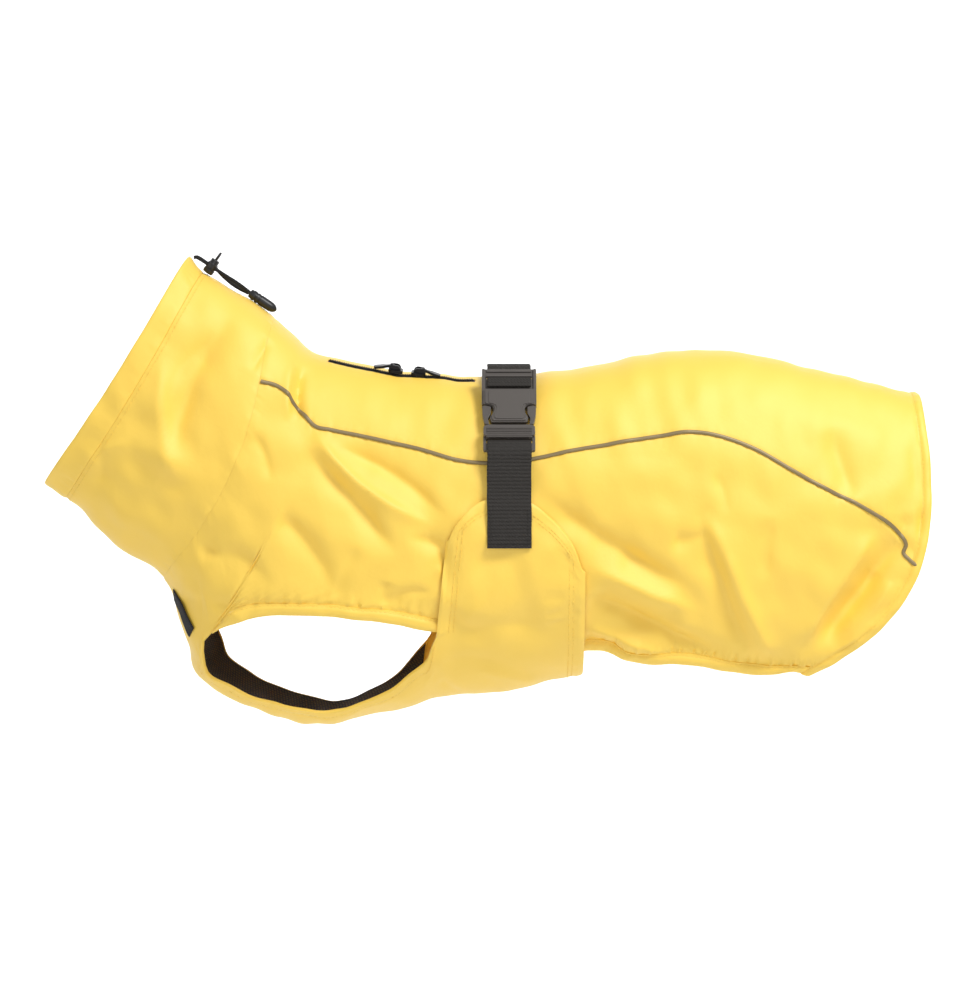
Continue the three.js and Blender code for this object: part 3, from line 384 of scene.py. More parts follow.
def coat_point(s, a, height=0.0, fine=True):
    """Point of the draped coat, a height above the shell's outer face."""
    s, a = np.broadcast_arrays(np.asarray(s, float), np.asarray(a, float))
    lift = np.asarray(height, float) + relief(s, a, fine)
    return form(s, a) + form_normal(s, a) * lift[..., None]


# %% [markdown]
# ## Seams and edges
# A maker marks the seams on the pattern. Here each is a line of the side view, put
# onto the form by solving for section number and angle, so that both pieces that meet
# at the seam read the same line.

# %% Seam lines
# Columns: x, z.
PIPING_LINE = [
    (-170, 2), (-157, -3), (-144, -16), (-133, -28), (-121, -31), (-98, -35.5), (-74, -40.5),
    (-53, -46), (-36, -50.5), (-17, -52.5), (14, -50), (60, -41), (103, -34), (123, -32),
    (143, -35), (167, -44), (190, -57), (214, -70), (238, -82), (256, -93), (268, -106),
    (279, -121),
]
LEG_CORNER = (-211, -178)
CHEST_LINE = [(-216, -93), (-215, -120), (-213, -150), LEG_CORNER]
SIDE_LOW_LINE = [
    LEG_CORNER, (-205, -172), (-195, -166), (-178, -160), (-159, -157), (-123, -157),
    (-98, -160), (-77, -163), (-52, -168), (-22, -174), (20, -181), (52, -185), (76, -189),
    (111, -193), (144, -197), (175, -200), (202, -200),
]
LEG_LOW_LINE = [
    LEG_CORNER, (-212, -190), (-209, -202), (-195, -211), (-172, -221), (-141, -227),
    (-123, -228), (-103, -222), (-85, -212), (-66, -195), (-57, -185), (-52, -170),
]
RIGHT_LEG_LOW_LINE = [
    LEG_CORNER, (-207, -190), (-202, -202), (-188, -213), (-168, -224), (-141, -232),
    (-123, -234), (-103, -229), (-85, -218), (-66, -199), (-57, -187), (-52, -170),
]
TAB_LINE = [
    (-42, -104), (-38, -95), (-33, -89), (-26, -82), (-17, -77), (0, -74), (14, -79),
    (25, -87), (35, -97), (43, -109), (49, -126),
]


def locate(line):
    """Section number and angle of side view points, by a coarse search and Newton steps."""
    line = np.asarray(line, float)
    x, z = line[:, 0], line[:, 1]
    s_grid, c_grid = np.meshgrid(np.arange(0, REAR_EDGE + 0.1, 0.25), np.arange(0.05, 1, 0.05))
    s_grid, c_grid = s_grid.ravel(), c_grid.ravel()
    gx, gz = side_point(s_grid, c_grid)
    best = np.argmin((gx - x[:, None]) ** 2 + (gz - z[:, None]) ** 2, axis=1)
    s, c = s_grid[best], c_grid[best]
    for _ in range(24):
        px, pz = side_point(s, c)
        sx, sz = side_point(s + PROBE, c)
        cx, cz = side_point(s, c + PROBE)
        ax, az, bx, bz = (sx - px) / PROBE, (sz - pz) / PROBE, (cx - px) / PROBE, (cz - pz) / PROBE
        area = ax * bz - az * bx
        s = np.clip(s + 0.7 * ((x - px) * bz - (z - pz) * bx) / area, 0, REAR_EDGE)
        c = np.clip(c + 0.7 * ((z - pz) * ax - (x - px) * az) / area, 0.002, 0.998)
    return s, np.arccos(1 - 2 * c)


def smooth_line(points, steps=12):
    """Points of a Catmull-Rom curve through rows of numbers."""
    p = np.asarray(points, float)
    p = np.vstack([2 * p[0] - p[1], p, 2 * p[-1] - p[-2]])
    t = np.arange(steps)[None, :, None] / steps
    p0, p1, p2, p3 = (p[k:len(p) - 3 + k, None] for k in range(4))
    bend = t * (2 * p0 - 5 * p1 + 4 * p2 - p3) + t * t * (3 * p1 - p0 - 3 * p2 + p3)
    curve = p1 + 0.5 * t * (p2 - p0 + bend)
    return np.vstack([curve.reshape(-1, p.shape[1]), p[-2]])


def edge_of(line):
    """A seam as a function that gives its angle at any section number."""
    s, a = locate(line)
    fine = smooth_line(np.stack([s, a], -1))
    order = np.maximum.accumulate(fine[:, 0])
    return lambda at: np.interp(at, order, fine[:, 1])


piping_angle = edge_of(PIPING_LINE)
chest_seam_angle = edge_of(CHEST_LINE)
skirt_angle = edge_of(SIDE_LOW_LINE)
leg_low_angle = edge_of(LEG_LOW_LINE)
right_leg_low_angle = edge_of(RIGHT_LEG_LOW_LINE)
tab_angle = edge_of(TAB_LINE)
LEG_START = float(locate([LEG_CORNER])[0][0])
BAND_FRONT = 8.85
BAND_REAR = 10.95
ZIP_END = 9.14
BAND_CORNER = float(leg_low_angle(BAND_FRONT))
HEM_WIDTH = 8.5
BAND_LIFT = 3.0
print("leg opening starts at section", round(LEG_START, 2))


def side_low_angle(s):
    """Lower edge of the side panel: chest seam, then leg opening and hem."""
    return np.where(s <= LEG_START, chest_seam_angle(s), skirt_angle(s))


SLOPE_STEP = 0.02
STEEPEST = 1.8


def slanted_step(s, edge, width):
    """Turn that moves a line off a slanted edge, by a width measured square to it."""
    a = edge(s)
    slope = (edge(s + SLOPE_STEP) - a) / SLOPE_STEP
    stretch = angle_length(s, a) / section_length(s, a)
    return angle_step(s, a, width * np.minimum(np.hypot(1, slope * stretch), STEEPEST))


def hem_angle(s, width):
    """Line inside the lower edge, by a width measured square to the edge."""
    return side_low_angle(s) - slanted_step(s, side_low_angle, width)


def band_lift(s):
    """The band lies outside the skirt, and the strip rises to it."""
    return BAND_LIFT * smooth(s, 7.4, BAND_FRONT - 0.25)


# %% [markdown]
# ## Building cloth
# A piece of cloth is a grid of places on the form. Two heights give its outer and its
# inner face, and the rim between them closes the wall. Grid lines crowd toward the
# seams, where the cloth dips into the stitching and puckers a little.

# %% Cloth builder
def crowd(count, pull=0.7):
    """Numbers from 0 to 1, closer together at both ends."""
    t = np.linspace(0, 1, count + 1)
    return t - pull * np.sin(2 * np.pi * t) / (2 * np.pi)


def lengths_along(points, axis):
    """Running length of a grid's lines along one axis."""
    steps = np.linalg.norm(np.diff(points, axis=axis), axis=-1)
    pad = [(0, 0), (0, 0)]
    pad[axis] = (1, 0)
    return np.pad(np.cumsum(steps, axis=axis), pad)


def new_object(name, verts, faces, uvs=None, smooth_limit=50):
    """Mesh object from arrays in millimetres, smooth but for edges over a limit."""
    mesh = bpy.data.meshes.new(name)
    mesh.from_pydata((np.asarray(verts) * MM).tolist(), [], np.asarray(faces).tolist())
    if uvs is not None:
        layer = mesh.uv_layers.new(name="cloth")
        loops = np.empty(len(mesh.loops), np.int32)
        mesh.loops.foreach_get("vertex_index", loops)
        layer.data.foreach_set("uv", (np.asarray(uvs)[loops] * MM).ravel())
    mesh.shade_smooth()
    mesh.set_sharp_from_angle(angle=math.radians(smooth_limit))
    mesh.update()
    return place_object(name, mesh)


def settle(piece, slot, *nodes):
    """A piece rides on the coat's body and stands for its solids; the slot that names its finish is not
    used.
    """
    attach(piece, "root")
    if nodes:
        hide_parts(*nodes)
    return piece


def wall_from_grids(name, outer, inner, keep=None, ring=False, smooth_limit=50):
    """Closed wall: outer grid, inner grid, and a rim wherever a kept cell has no neighbour."""
    rows, cols = outer.shape[:2]
    cell_cols = cols if ring else cols - 1
    keep = np.ones((rows - 1, cell_cols), bool) if keep is None else keep
    index = np.arange(rows * cols).reshape(rows, cols)
    inside = index + rows * cols
    i, j = np.nonzero(keep)
    jn = (j + 1) % cols

    def quads(grid, corners):
        return np.stack([grid[r, c] for r, c in corners], -1)

    outer_faces = quads(index, [(i, j), (i + 1, j), (i + 1, jn), (i, jn)])
    inner_faces = quads(inside, [(i, j), (i, jn), (i + 1, jn), (i + 1, j)])
    rims = []
    padded = np.pad(keep, ((1, 1), (0, 0)))
    padded = np.pad(padded, ((0, 0), (1, 1)), mode="wrap" if ring else "constant")
    sides = [
        (-1, 0, (0, 0), (0, 1)), (1, 0, (1, 1), (1, 0)), (0, -1, (1, 0), (0, 0)), (0, 1, (0, 1), (1, 1)),
    ]
    for di, dj, first, second in sides:
        open_here = ~padded[i + 1 + di, j + 1 + dj]
        fi, fj = i[open_here] + first[0], (j[open_here] + first[1]) % cols
        gi, gj = i[open_here] + second[0], (j[open_here] + second[1]) % cols
        rims.append(np.stack([index[fi, fj], index[gi, gj], inside[gi, gj], inside[fi, fj]], -1))
    rim_faces = np.vstack(rims)
    faces = np.vstack([outer_faces, inner_faces, rim_faces])
    verts = np.vstack([outer.reshape(-1, 3), inner.reshape(-1, 3)])
    uv = np.stack([lengths_along(outer, 0), lengths_along(outer, 1)], -1).reshape(-1, 2)
    uvs = np.vstack([uv, uv])
    used = np.zeros(len(verts), bool)
    used[faces.ravel()] = True
    renumber = np.cumsum(used) - 1
    verts, uvs, faces = verts[used], uvs[used], renumber[faces]
    a, b, c, d = (verts[faces[:, k]] for k in range(4))
    volume = (a * (np.cross(b, c) + np.cross(c, d))).sum()
    if volume < 0:
        faces = faces[:, ::-1]
    return new_object(name, verts, faces, uvs, smooth_limit)


SHELL_WALL = 0.9
PUCKER_WAVES = ((0.9, 0.0), (1.37, 1.1), (0.61, 2.3), (2.2, 0.4))


def pucker(along, distance, rise=0.25, reach=5.0):
    """Gathering beside a stitched seam: short uneven waves that die out with distance."""
    waves = sum(np.sin(rate * along + phase) for rate, phase in PUCKER_WAVES)
    return rise * waves / 2 * np.exp(-((distance / reach) ** 2)) * (1 - 0.7 * np.exp(-(distance**2)))


def seam_dip(distance, depth=0.35, reach=2.2):
    """Cloth pulled into the stitching at a seam."""
    return -depth * np.exp(-((distance / reach) ** 2))


def stitched(along, distance):
    """Dip and pucker together, as beside every sewn seam of the coat."""
    return seam_dip(distance) + pucker(along, distance)


def square_gap(s, a, edge):
    """Distance from a seam line, measured square to it on the cloth."""
    e = edge(s)
    slope = (edge(s + SLOPE_STEP) - edge(s - SLOPE_STEP)) / (2 * SLOPE_STEP)
    across, along = angle_length(s, e), section_length(s, e)
    return (a - e) * across / np.sqrt(1 + (slope * across / along) ** 2)


def lip(distance, radius):
    """Depth of a rounded edge: a quarter circle over the last bit of the cloth."""
    t = np.clip(1 - np.abs(distance) / radius, 0, 1)
    return radius * (1 - np.sqrt(1 - t * t))


def drape(name, s, a, high, low, **options):
    """Wall of cloth over places s, a, between two heights over the coat's form."""
    base, normal, lift = form(s, a), form_normal(s, a), relief(s, a)
    outer = base + normal * (lift + high)[..., None]
    inner = base + normal * (lift + low)[..., None]
    piece = wall_from_grids(name, outer, inner, **options)
    piece["area_mm2"] = float(cloth_area(outer, options.get("keep"), options.get("ring", False)))
    print(name, len(piece.data.polygons), "faces,", round(piece["area_mm2"] / 100), "cm2")
    return piece


def cloth_area(points, keep, ring):
    """Area of a grid of points, of its kept cells only."""
    p = np.concatenate([points, points[:, :1]], 1) if ring else points
    across, down = p[1:, 1:] - p[:-1, :-1], p[1:, :-1] - p[:-1, 1:]
    cells = np.linalg.norm(np.cross(across, down), axis=-1) / 2
    return cells.sum() if keep is None else (cells * keep).sum()


def rows_between(*stops, cell=2.0):
    """Section numbers with about one cell of cloth between them; stops are kept."""
    numbers = [stops[0]]
    for start, end in zip(stops[:-1], stops[1:]):
        middle = (start + end) / 2
        length = (end - start) * section_length(middle, 1.3)
        count = max(2, round(length / cell))
        numbers.extend(np.linspace(start, end, count + 1)[1:])
    return np.array(numbers)


# %% [markdown]
# ## Collar
# The collar is a wide band of shell cloth. Its rim is turned back into a casing that
# the drawcord runs through, so the rim is thicker, soft and a little gathered. Both
# are rings round the neck.

# %% Collar and casing
CASING_RISE = 0.6
CLOTH = 1.5
SEAM_GAP = 0.3
SHOWN_GAP = 0.05
RING_COLUMNS = 260
# Radii that turn an angle into a rough length round the coat, for gathers and ropes.
CASING_RADIUS = 62
COLLAR_RADIUS = 66
CHEST_RADIUS = 60
FLANK_RADIUS = 50
TAIL_RADIUS = 78


def ring_places(stops, columns=RING_COLUMNS):
    s = np.asarray(stops, float)[:, None]
    a = np.pi + 2 * np.pi * np.arange(columns)[None, :] / columns
    return np.broadcast_arrays(s, a)


def make_casing():
    """Turned rim: two faces that part like a flat tube and meet at rim and seam."""
    t = crowd(14, 0.9)
    end = SEAM_CASING - 0.003
    s, a = ring_places(end * t)
    arc = a * CASING_RADIUS
    full = np.sqrt(np.clip(1 - np.abs(2 * t - 1) ** 3.2, 0, 1))[:, None]
    gather = 0.35 * np.sin(arc * 0.21 + 0.8 * np.sin(arc * 0.047)) * full
    gather = gather + pucker(arc, (1 - t[:, None]) * 14, 0.3, 4)
    middle, half = -0.75, CLOTH / 2 + CASING_RISE
    high = middle + (0.22 + (half - 0.22) * full) + gather
    low = middle - (0.22 + (half - 0.22) * full) + 0.5 * gather
    piece = drape("collar_casing_cloth", s, a, high, low, ring=True)
    return settle(piece, "shell", "collar_casing")


def make_collar():
    """Neck piece from the casing's seam to the seam with the panels."""
    stops = rows_between(SEAM_CASING + 0.003, SEAM_COLLAR - 0.001)
    stops = stops[0] + (stops[-1] - stops[0]) * crowd(len(stops) - 1, 0.5)
    s, a = ring_places(stops)
    arc = a * COLLAR_RADIUS
    length = section_length(s, a)
    from_casing, from_panels = (s - SEAM_CASING) * length, (SEAM_COLLAR - s) * length
    high = stitched(arc, from_casing) + stitched(arc + 9, from_panels)
    piece = drape("collar_cloth", s, a, high, high - SHELL_WALL, ring=True)
    return settle(piece, "shell", "collar")


casing = make_casing()
collar = make_collar()

# %% [markdown]
# ## Saddle: back and sides
# One back panel and two side panels are joined along the piping. They share their rows,
# so the seam stays closed along its whole length. The lower edge is turned up into a
# hem, and a bound hem runs round the tail end.

# %% Saddle
HEM_WALL = 2.5
HEM_RISE = 0.5
HEM_COLUMNS = 16
SIDE_COLUMNS = 88
BACK_HALF_COLUMNS = 34
ZIP_HALF = 3.5
ZIP_LEAN = 0.15
ZIP_START = LEG_START
HEM_GROWTH = 0.14
SIDES = (("left", 1), ("right", -1))
saddle_rows = rows_between(
    SEAM_COLLAR, LEG_START, LEG_START + HEM_GROWTH, 8.2, BAND_FRONT, ZIP_END, BAND_REAR, 15,
    REAR_EDGE,
)


def zip_angle(s, side):
    return ZIP_LEAN + side * angle_step(s, ZIP_LEAN, ZIP_HALF)


def row_at(s, a):
    """Rows keep their gap at the collar and make room for the rear hem."""
    first = SEAM_COLLAR + section_step(SEAM_COLLAR, a, SHOWN_GAP)
    inset = section_step(REAR_EDGE - 0.2, a, HEM_WIDTH + SHOWN_GAP)
    rear = REAR_EDGE - 1
    return np.where(s <= rear, np.maximum(s, first), rear + (s - rear) * (1 - inset))


def end_gaps(s, a, at):
    """Distances from the collar seam and from the rear hem."""
    length = section_length(at, a)
    return (at - SEAM_COLLAR) * length, (REAR_EDGE - at) * length - HEM_WIDTH


def make_back():
    """Back panel; two columns side by side leave a slot for the zip."""
    t = crowd(BACK_HALF_COLUMNS, 0.55)
    s = saddle_rows[:, None]
    right = zip_angle(s, -1) + (-piping_angle(s) - zip_angle(s, -1)) * t[::-1]
    left = zip_angle(s, 1) + (piping_angle(s) - zip_angle(s, 1)) * t
    a = np.concatenate([right, left], 1)
    s = np.broadcast_to(s, a.shape)
    at = row_at(s, a)
    front, rear = end_gaps(s, a, at)
    x = form(at, a)[..., 0]
    from_piping = -square_gap(at, np.abs(a), piping_angle)
    high = stitched(x, from_piping) + stitched(a * CHEST_RADIUS, front) + stitched(a * FLANK_RADIUS, rear)
    in_zip = (at > ZIP_START - 0.02) & (at < ZIP_END + 0.02)
    from_zip = np.abs(a - ZIP_LEAN) * angle_length(at, a) - ZIP_HALF
    high = high + np.where(in_zip, -lip(from_zip, 0.6) + pucker(x, from_zip, 0.2, 3), 0)
    keep = np.ones((len(saddle_rows) - 1, 2 * BACK_HALF_COLUMNS + 1), bool)
    opened = (saddle_rows[:-1] >= ZIP_START - 1e-6) & (saddle_rows[1:] <= ZIP_END + 1e-6)
    keep[opened, BACK_HALF_COLUMNS] = False
    piece = drape("back_cloth", at, a, high, high - SHELL_WALL, keep=keep)
    return settle(piece, "shell", "back_panel")


SEAM_TUCK = 0.5


def lower_angle(s):
    """The chest seam has no hem; the leg opening's hem grows in from its end."""
    grown = smooth(s, LEG_START, LEG_START + HEM_GROWTH)
    return hem_angle(s, (HEM_WIDTH + SHOWN_GAP) * grown - SEAM_TUCK * (1 - grown))


def make_side(name, sign):
    s = saddle_rows[:, None]
    top = piping_angle(s)
    a = top + (lower_angle(s) - top) * crowd(SIDE_COLUMNS, 0.5)
    s = np.broadcast_to(s, a.shape)
    at = row_at(s, a)
    front, rear = end_gaps(s, a, at)
    x = form(at, a)[..., 0]
    from_piping = square_gap(at, a, piping_angle)
    from_low = -square_gap(at, a, lower_angle)
    hemmed = smooth(at, LEG_START, LEG_START + 0.3)
    gathers = pucker(x + 5, from_low, 0.8, 8) * hemmed
    tucked = seam_dip(from_low, 0.05, 1.2) * (1 - hemmed)
    high = stitched(x, from_piping) + seam_dip(from_low, 0.9) * hemmed + gathers + tucked
    high = high + stitched(a * CHEST_RADIUS, front) + stitched(a * FLANK_RADIUS, rear)
    piece = drape(f"side_cloth_{name}", at, sign * a, high, high - SHELL_WALL)
    return settle(piece, "shell", f"side_panel_{name}")


def hem_profile(t, width, x):
    """Outer and inner height of a turned hem; t runs from the stitching to the edge."""
    d = t * width
    from_edge = (1 - t) * width
    rope = 0.25 * np.sin(0.62 * x + 0.35 * d) * np.exp(-(((d - 3) / 3) ** 2))
    groove = -0.5 * np.exp(-(((d - 1.3) / 0.6) ** 2))
    start = -0.9 * np.exp(-((d / 0.9) ** 2))
    full = 0.9 * np.sin(np.pi * np.clip((d - 1.2) / (width - 1.2 + 1e-6), 0, 1)) ** 0.8
    high = HEM_RISE - lip(from_edge, HEM_WALL / 2) + rope + groove + start + full
    low = HEM_RISE - HEM_WALL + lip(from_edge, HEM_WALL / 2) + 0 * x
    return high, low


def make_lower_hem(name, sign):
    t = crowd(HEM_COLUMNS, 0.8)
    s = saddle_rows[saddle_rows >= LEG_START + 0.03][:, None]
    grown = smooth(s, LEG_START, LEG_START + HEM_GROWTH)
    inner = hem_angle(s, HEM_WIDTH * grown)
    a = inner + (side_low_angle(s) - inner) * t
    s = np.broadcast_to(s, a.shape)
    at = row_at(s, a)
    high, low = hem_profile(t[None, :], HEM_WIDTH * grown, form(at, a)[..., 0])
    piece = drape(f"hem_cloth_{name}", at, sign * a, high, low)
    return settle(piece, "shell", f"leg_hem_{name}", f"skirt_hem_{name}")


def make_rear_hem():
    t = crowd(HEM_COLUMNS, 0.8)
    low_corner = float(side_low_angle(REAR_EDGE))
    a = np.linspace(-low_corner, low_corner, 240)[:, None]
    s = REAR_EDGE - section_step(REAR_EDGE - 0.2, a, HEM_WIDTH) * (1 - t)
    a = np.broadcast_to(a, s.shape)
    high, low = hem_profile(t[None, :], HEM_WIDTH, a * TAIL_RADIUS)
    piece = drape("rear_hem_cloth", s, a, high, low)
    return settle(piece, "shell", "rear_hem")


back = make_back()
sides = [make_side(*side) for side in SIDES]
hems = [make_lower_hem(*side) for side in SIDES]
rear_hem = make_rear_hem()

# %% [markdown]
# ## Under panel and belly band
# The under panel covers the chest, narrows between the forelegs and ends in the belly
# band. The band's tabs lie on top of the saddle, left and right, with a turned and
# stitched edge. Inside, the chest is lined with a black mesh.

# %% Under panel
front_rows = rows_between(SEAM_COLLAR, LEG_START, LEG_START + 0.4, 8.2, BAND_FRONT)
band_rows = rows_between(BAND_FRONT, BAND_REAR)
CHEST_COUNT = 40
TAB_COUNT = 26
TURNED = 7.6
UNDER_WALL = 1.3
MESH_WALL = 0.7
# A distance from the edge at which its shape no longer shows.
FAR = 60


def under_seam(s, leg_edge):
    return np.where(s <= LEG_START, chest_seam_angle(s), leg_edge(s))


LEG_EDGES = {1: leg_low_angle, -1: right_leg_low_angle}


def under_places():
    """Columns from one tab over the belly to the other; the front rows have no tabs."""
    t, u = crowd(CHEST_COUNT, 0.55), crowd(TAB_COUNT, 0.55)
    s = np.concatenate([front_rows, band_rows[1:]])[:, None]
    at_band = s >= BAND_FRONT - 1e-9
    halves = []
    for side in (1, -1):
        seam = under_seam(s, LEG_EDGES[side])
        inner = np.where(at_band, BAND_CORNER, seam)
        chest = np.pi + (inner - np.pi) * t
        tab = BAND_CORNER + (tab_angle(s) - BAND_CORNER) * u[1:]
        halves.append(np.concatenate([chest, tab], 1))
    a = np.concatenate([halves[0][:, ::-1], 2 * np.pi - halves[1][:, 1:]], 1)
    s = np.broadcast_to(s, a.shape)
    return np.maximum(s, SEAM_COLLAR + 0.001), a, at_band[:, 0]


def turned_edge(distance, along):
    """Turned and stitched edge: two layers to the stitch line, round at the rim."""
    layers = 0.7 * (1 - smooth(distance, TURNED, TURNED + 1.2))
    groove = -0.7 * np.exp(-(((distance - TURNED) / 0.8) ** 2))
    return layers + groove - lip(distance, 0.8) + pucker(along, distance - TURNED, 0.35, 5)


# Columns as for the folds of the coat, but the rise is in millimetres. The right side
# takes the same folds, moved toward the tail.
TAB_FOLDS = [
    (-32, -117, -10, -116, 13, -124, 9, -2.4),
    (0, -128, -20, -146, -33, -163, 9, 2.2),
    (-33, -171, -7, -162, 34, -172, 10, -2.2),
    (20, -142, 29, -142, 38, -140, 3, -1.2),
    (22, -155, 30, -153, 37, -151, 3, -1.2),
    (25, -163, 31, -161, 37, -159, 3, -1.0),
    (-38, -144, -24, -142, -11, -142, 4, -1.3),
    (-50, -194, -28, -186, 8, -197, 6, -1.4),
]
RIGHT_MOVE = 6


def tab_folds(s, a):
    p = form(s, a)
    x, z = p[..., 0] - np.where(a > np.pi, RIGHT_MOVE, 0), p[..., 2]
    return sum(fold_height(row, x, z) for row in TAB_FOLDS)


def under_height(s, a):
    """Outer height of the under panel over the coat's form, turned edges included."""
    around = np.where(a > np.pi, 2 * np.pi - a, a)
    p = form(s, a)
    length = section_length(s, a)
    from_collar = (s - SEAM_COLLAR) * length
    left_gap, right_gap = (square_gap(s, around, LEG_EDGES[side]) for side in (1, -1))
    front = np.where(s < LEG_START, FAR, np.where(a > np.pi, right_gap, left_gap))
    above = around < BAND_CORNER
    band_front = np.where(above, (s - BAND_FRONT) * length, FAR)
    band_rear = (BAND_REAR - s) * length
    top = square_gap(np.maximum(s, BAND_FRONT), around, tab_angle)
    edge = np.where(s < BAND_FRONT, front, np.minimum(band_front, top))
    edge = np.where((s >= BAND_FRONT) & ~above, FAR, edge)
    edge = np.minimum(np.maximum(edge, 0), np.maximum(band_rear, 0))
    height = band_lift(s) + turned_edge(edge, p[..., 0] + p[..., 2])
    return height + stitched(a * CHEST_RADIUS, from_collar) + tab_folds(s, a)


def make_under():
    s, a, at_band = under_places()
    high = under_height(s, a)
    cells = s.shape[1] - 1
    keep = np.ones((s.shape[0] - 1, cells), bool)
    keep[~at_band[:-1], :TAB_COUNT] = False
    keep[~at_band[:-1], cells - TAB_COUNT:] = False
    piece = drape("under_cloth", s, a, high, high - UNDER_WALL, keep=keep)
    return settle(piece, "shell", "under_panel")


LINING_REACH = 0.955


def make_lining():
    """Mesh lining, one even layer that ends a little inside the rim of the shell."""
    s = rows_between(SEAM_COLLAR + 0.45, 8.6)[:, None]
    t = crowd(CHEST_COUNT, 0.4)
    seams = [under_seam(s, LEG_EDGES[side]) for side in (1, -1)]
    left, right = (np.pi + (seam - np.pi) * t * LINING_REACH for seam in seams)
    a = np.concatenate([left[:, ::-1], 2 * np.pi - right[:, 1:]], 1)
    s = np.broadcast_to(s, a.shape)
    high = band_lift(s) - CLOTH - SEAM_GAP + 0.1
    piece = drape("lining_mesh", s, a, high, high - MESH_WALL)
    return settle(piece, "mesh_lining", "lining_chest")


under = make_under()
lining = make_lining()

# %% [markdown]
# ## Reflective piping
# A thin grey cord of reflective tape is sewn into the seam of back and side. It is a
# half round bead with a flat foot; at the tail it wanders a little before the hem.

# %% Piping
PIPING_WIDTH = 2.6
PIPING_TALL = 1.2
# Columns: x, z. The end of the piping, as it wanders on the panel before the hem.
PIPING_HOOK = [
    (243, -85), (256, -93), (265, -101), (269, -108), (267.5, -114), (271, -118.5), (276, -123),
]


def piping_places(sign):
    s_main = np.arange(SEAM_COLLAR + 0.03, 14.75, 0.04)
    hook = smooth_line(PIPING_HOOK, 10)
    s_hook, a_hook = locate(hook)
    keep = s_hook > s_main[-1] + 0.02
    s = np.concatenate([s_main, s_hook[keep]])
    a = np.concatenate([piping_angle(s_main), a_hook[keep]])
    return s, sign * a


def make_piping(name, sign):
    """Bead: height = tall * sqrt(1 - v^2) across the width, v from -1 to 1."""
    s, a = piping_places(sign)
    centre = coat_point(s, a, 0.1)
    normal = form_normal(s, a)
    along = np.gradient(centre, axis=0)
    across = unit(np.cross(along, normal))
    v = np.sin(np.linspace(-1, 1, 13) * np.pi / 2)
    bead = 0.15 + (PIPING_TALL - 0.15) * np.sqrt(np.clip(1 - v * v, 0, 1)) ** 0.8
    outer = centre[:, None] + across[:, None] * (v * PIPING_WIDTH / 2)[None, :, None]
    inner = outer - normal[:, None] * 0.35
    outer = outer + normal[:, None] * bead[None, :, None]
    piece = wall_from_grids(f"piping_bead_{name}", outer, inner)
    settle(piece, "piping", f"piping_{name}")
    print(piece.name, round(float(running_length(centre)[-1])), "mm long")
    return piece


pipings = [make_piping(*side) for side in SIDES]

# %% [markdown]
# ## Strap and buckle
# Ribbed webbing runs from the left tab over the back to the right tab. Its left end is
# sewn on in a box of stitches, and a side release buckle joins it to the long strap.

# %% Webbing
WEBBING_WIDTH = 30
WEBBING_WALL = 1.6
WEBBING_SEAT = 3.4
STRAP_X = -1
BUCKLE_Y, BUCKLE_Z = -54.5, -20
BUCKLE_TILT = math.radians(53)
BUCKLE_SEAT = 0.8
BUCKLE_HALF = 18.6
BUCKLE_INSIDE = 15.4
RIB_PITCH = 2.5


def on_buckle(up, out):
    """Point y, z in the buckle's own plane: up the strap, out from the coat."""
    cos, sin = math.cos(BUCKLE_TILT), math.sin(BUCKLE_TILT)
    return BUCKLE_Y + cos * up - sin * out, BUCKLE_Z + sin * up + cos * out


def strap_on_coat(sign, from_z, to_z, count):
    """Underside of the webbing where it lies on one side of the coat."""
    z = np.linspace(from_z, to_z, count + 1)
    s, a = locate(np.stack([np.full(z.shape, STRAP_X), z], -1))
    return coat_point(s, sign * a, WEBBING_SEAT, fine=False)[:, 1:].tolist()


def make_webbing(name, node, points):
    """Ribs: height = 0.6 * (|sin(pi * length / pitch)| - 0.7), thinner at the selvedges."""
    line = smooth_line(points, 40)
    step = running_length(line)
    length = np.arange(0, step[-1], 0.42)
    y, z = np.interp(length, step, line[:, 0]), np.interp(length, step, line[:, 1])
    ty, tz = np.gradient(y), np.gradient(z)
    size = np.hypot(ty, tz)
    ny, nz = -tz / size, ty / size
    v = np.sin(np.linspace(-1, 1, 33) * np.pi / 2)
    edge = 0.25 + 0.75 * np.clip((1 - np.abs(v)) / 0.05, 0, 1) ** 0.5
    band = 0.8 + 0.2 * np.abs(np.sin(np.pi * v * 7))
    rib = 0.6 * (np.abs(np.sin(np.pi * length / RIB_PITCH)) - 0.7)[:, None] * band
    wander = 0.12 * np.sin(length * 0.11) + 0.08 * np.sin(length * 0.31 + 1)
    x = STRAP_X + wander[:, None] + v * WEBBING_WIDTH / 2
    tall = WEBBING_WALL * (0.5 + 0.5 * edge) + rib * edge
    grids = []
    for lift in (tall, np.broadcast_to(WEBBING_WALL * 0.5 * (1 - edge), tall.shape)):
        lifted_y = y[:, None] + ny[:, None] * lift
        lifted_z = z[:, None] + nz[:, None] * lift
        grids.append(np.stack([x, lifted_y, lifted_z], -1))
    piece = wall_from_grids(name, *grids, smooth_limit=70)
    settle(piece, "webbing", node)
    print(name, round(step[-1]), "mm long")
    return piece, np.stack([y, z, ny, nz, length], -1)


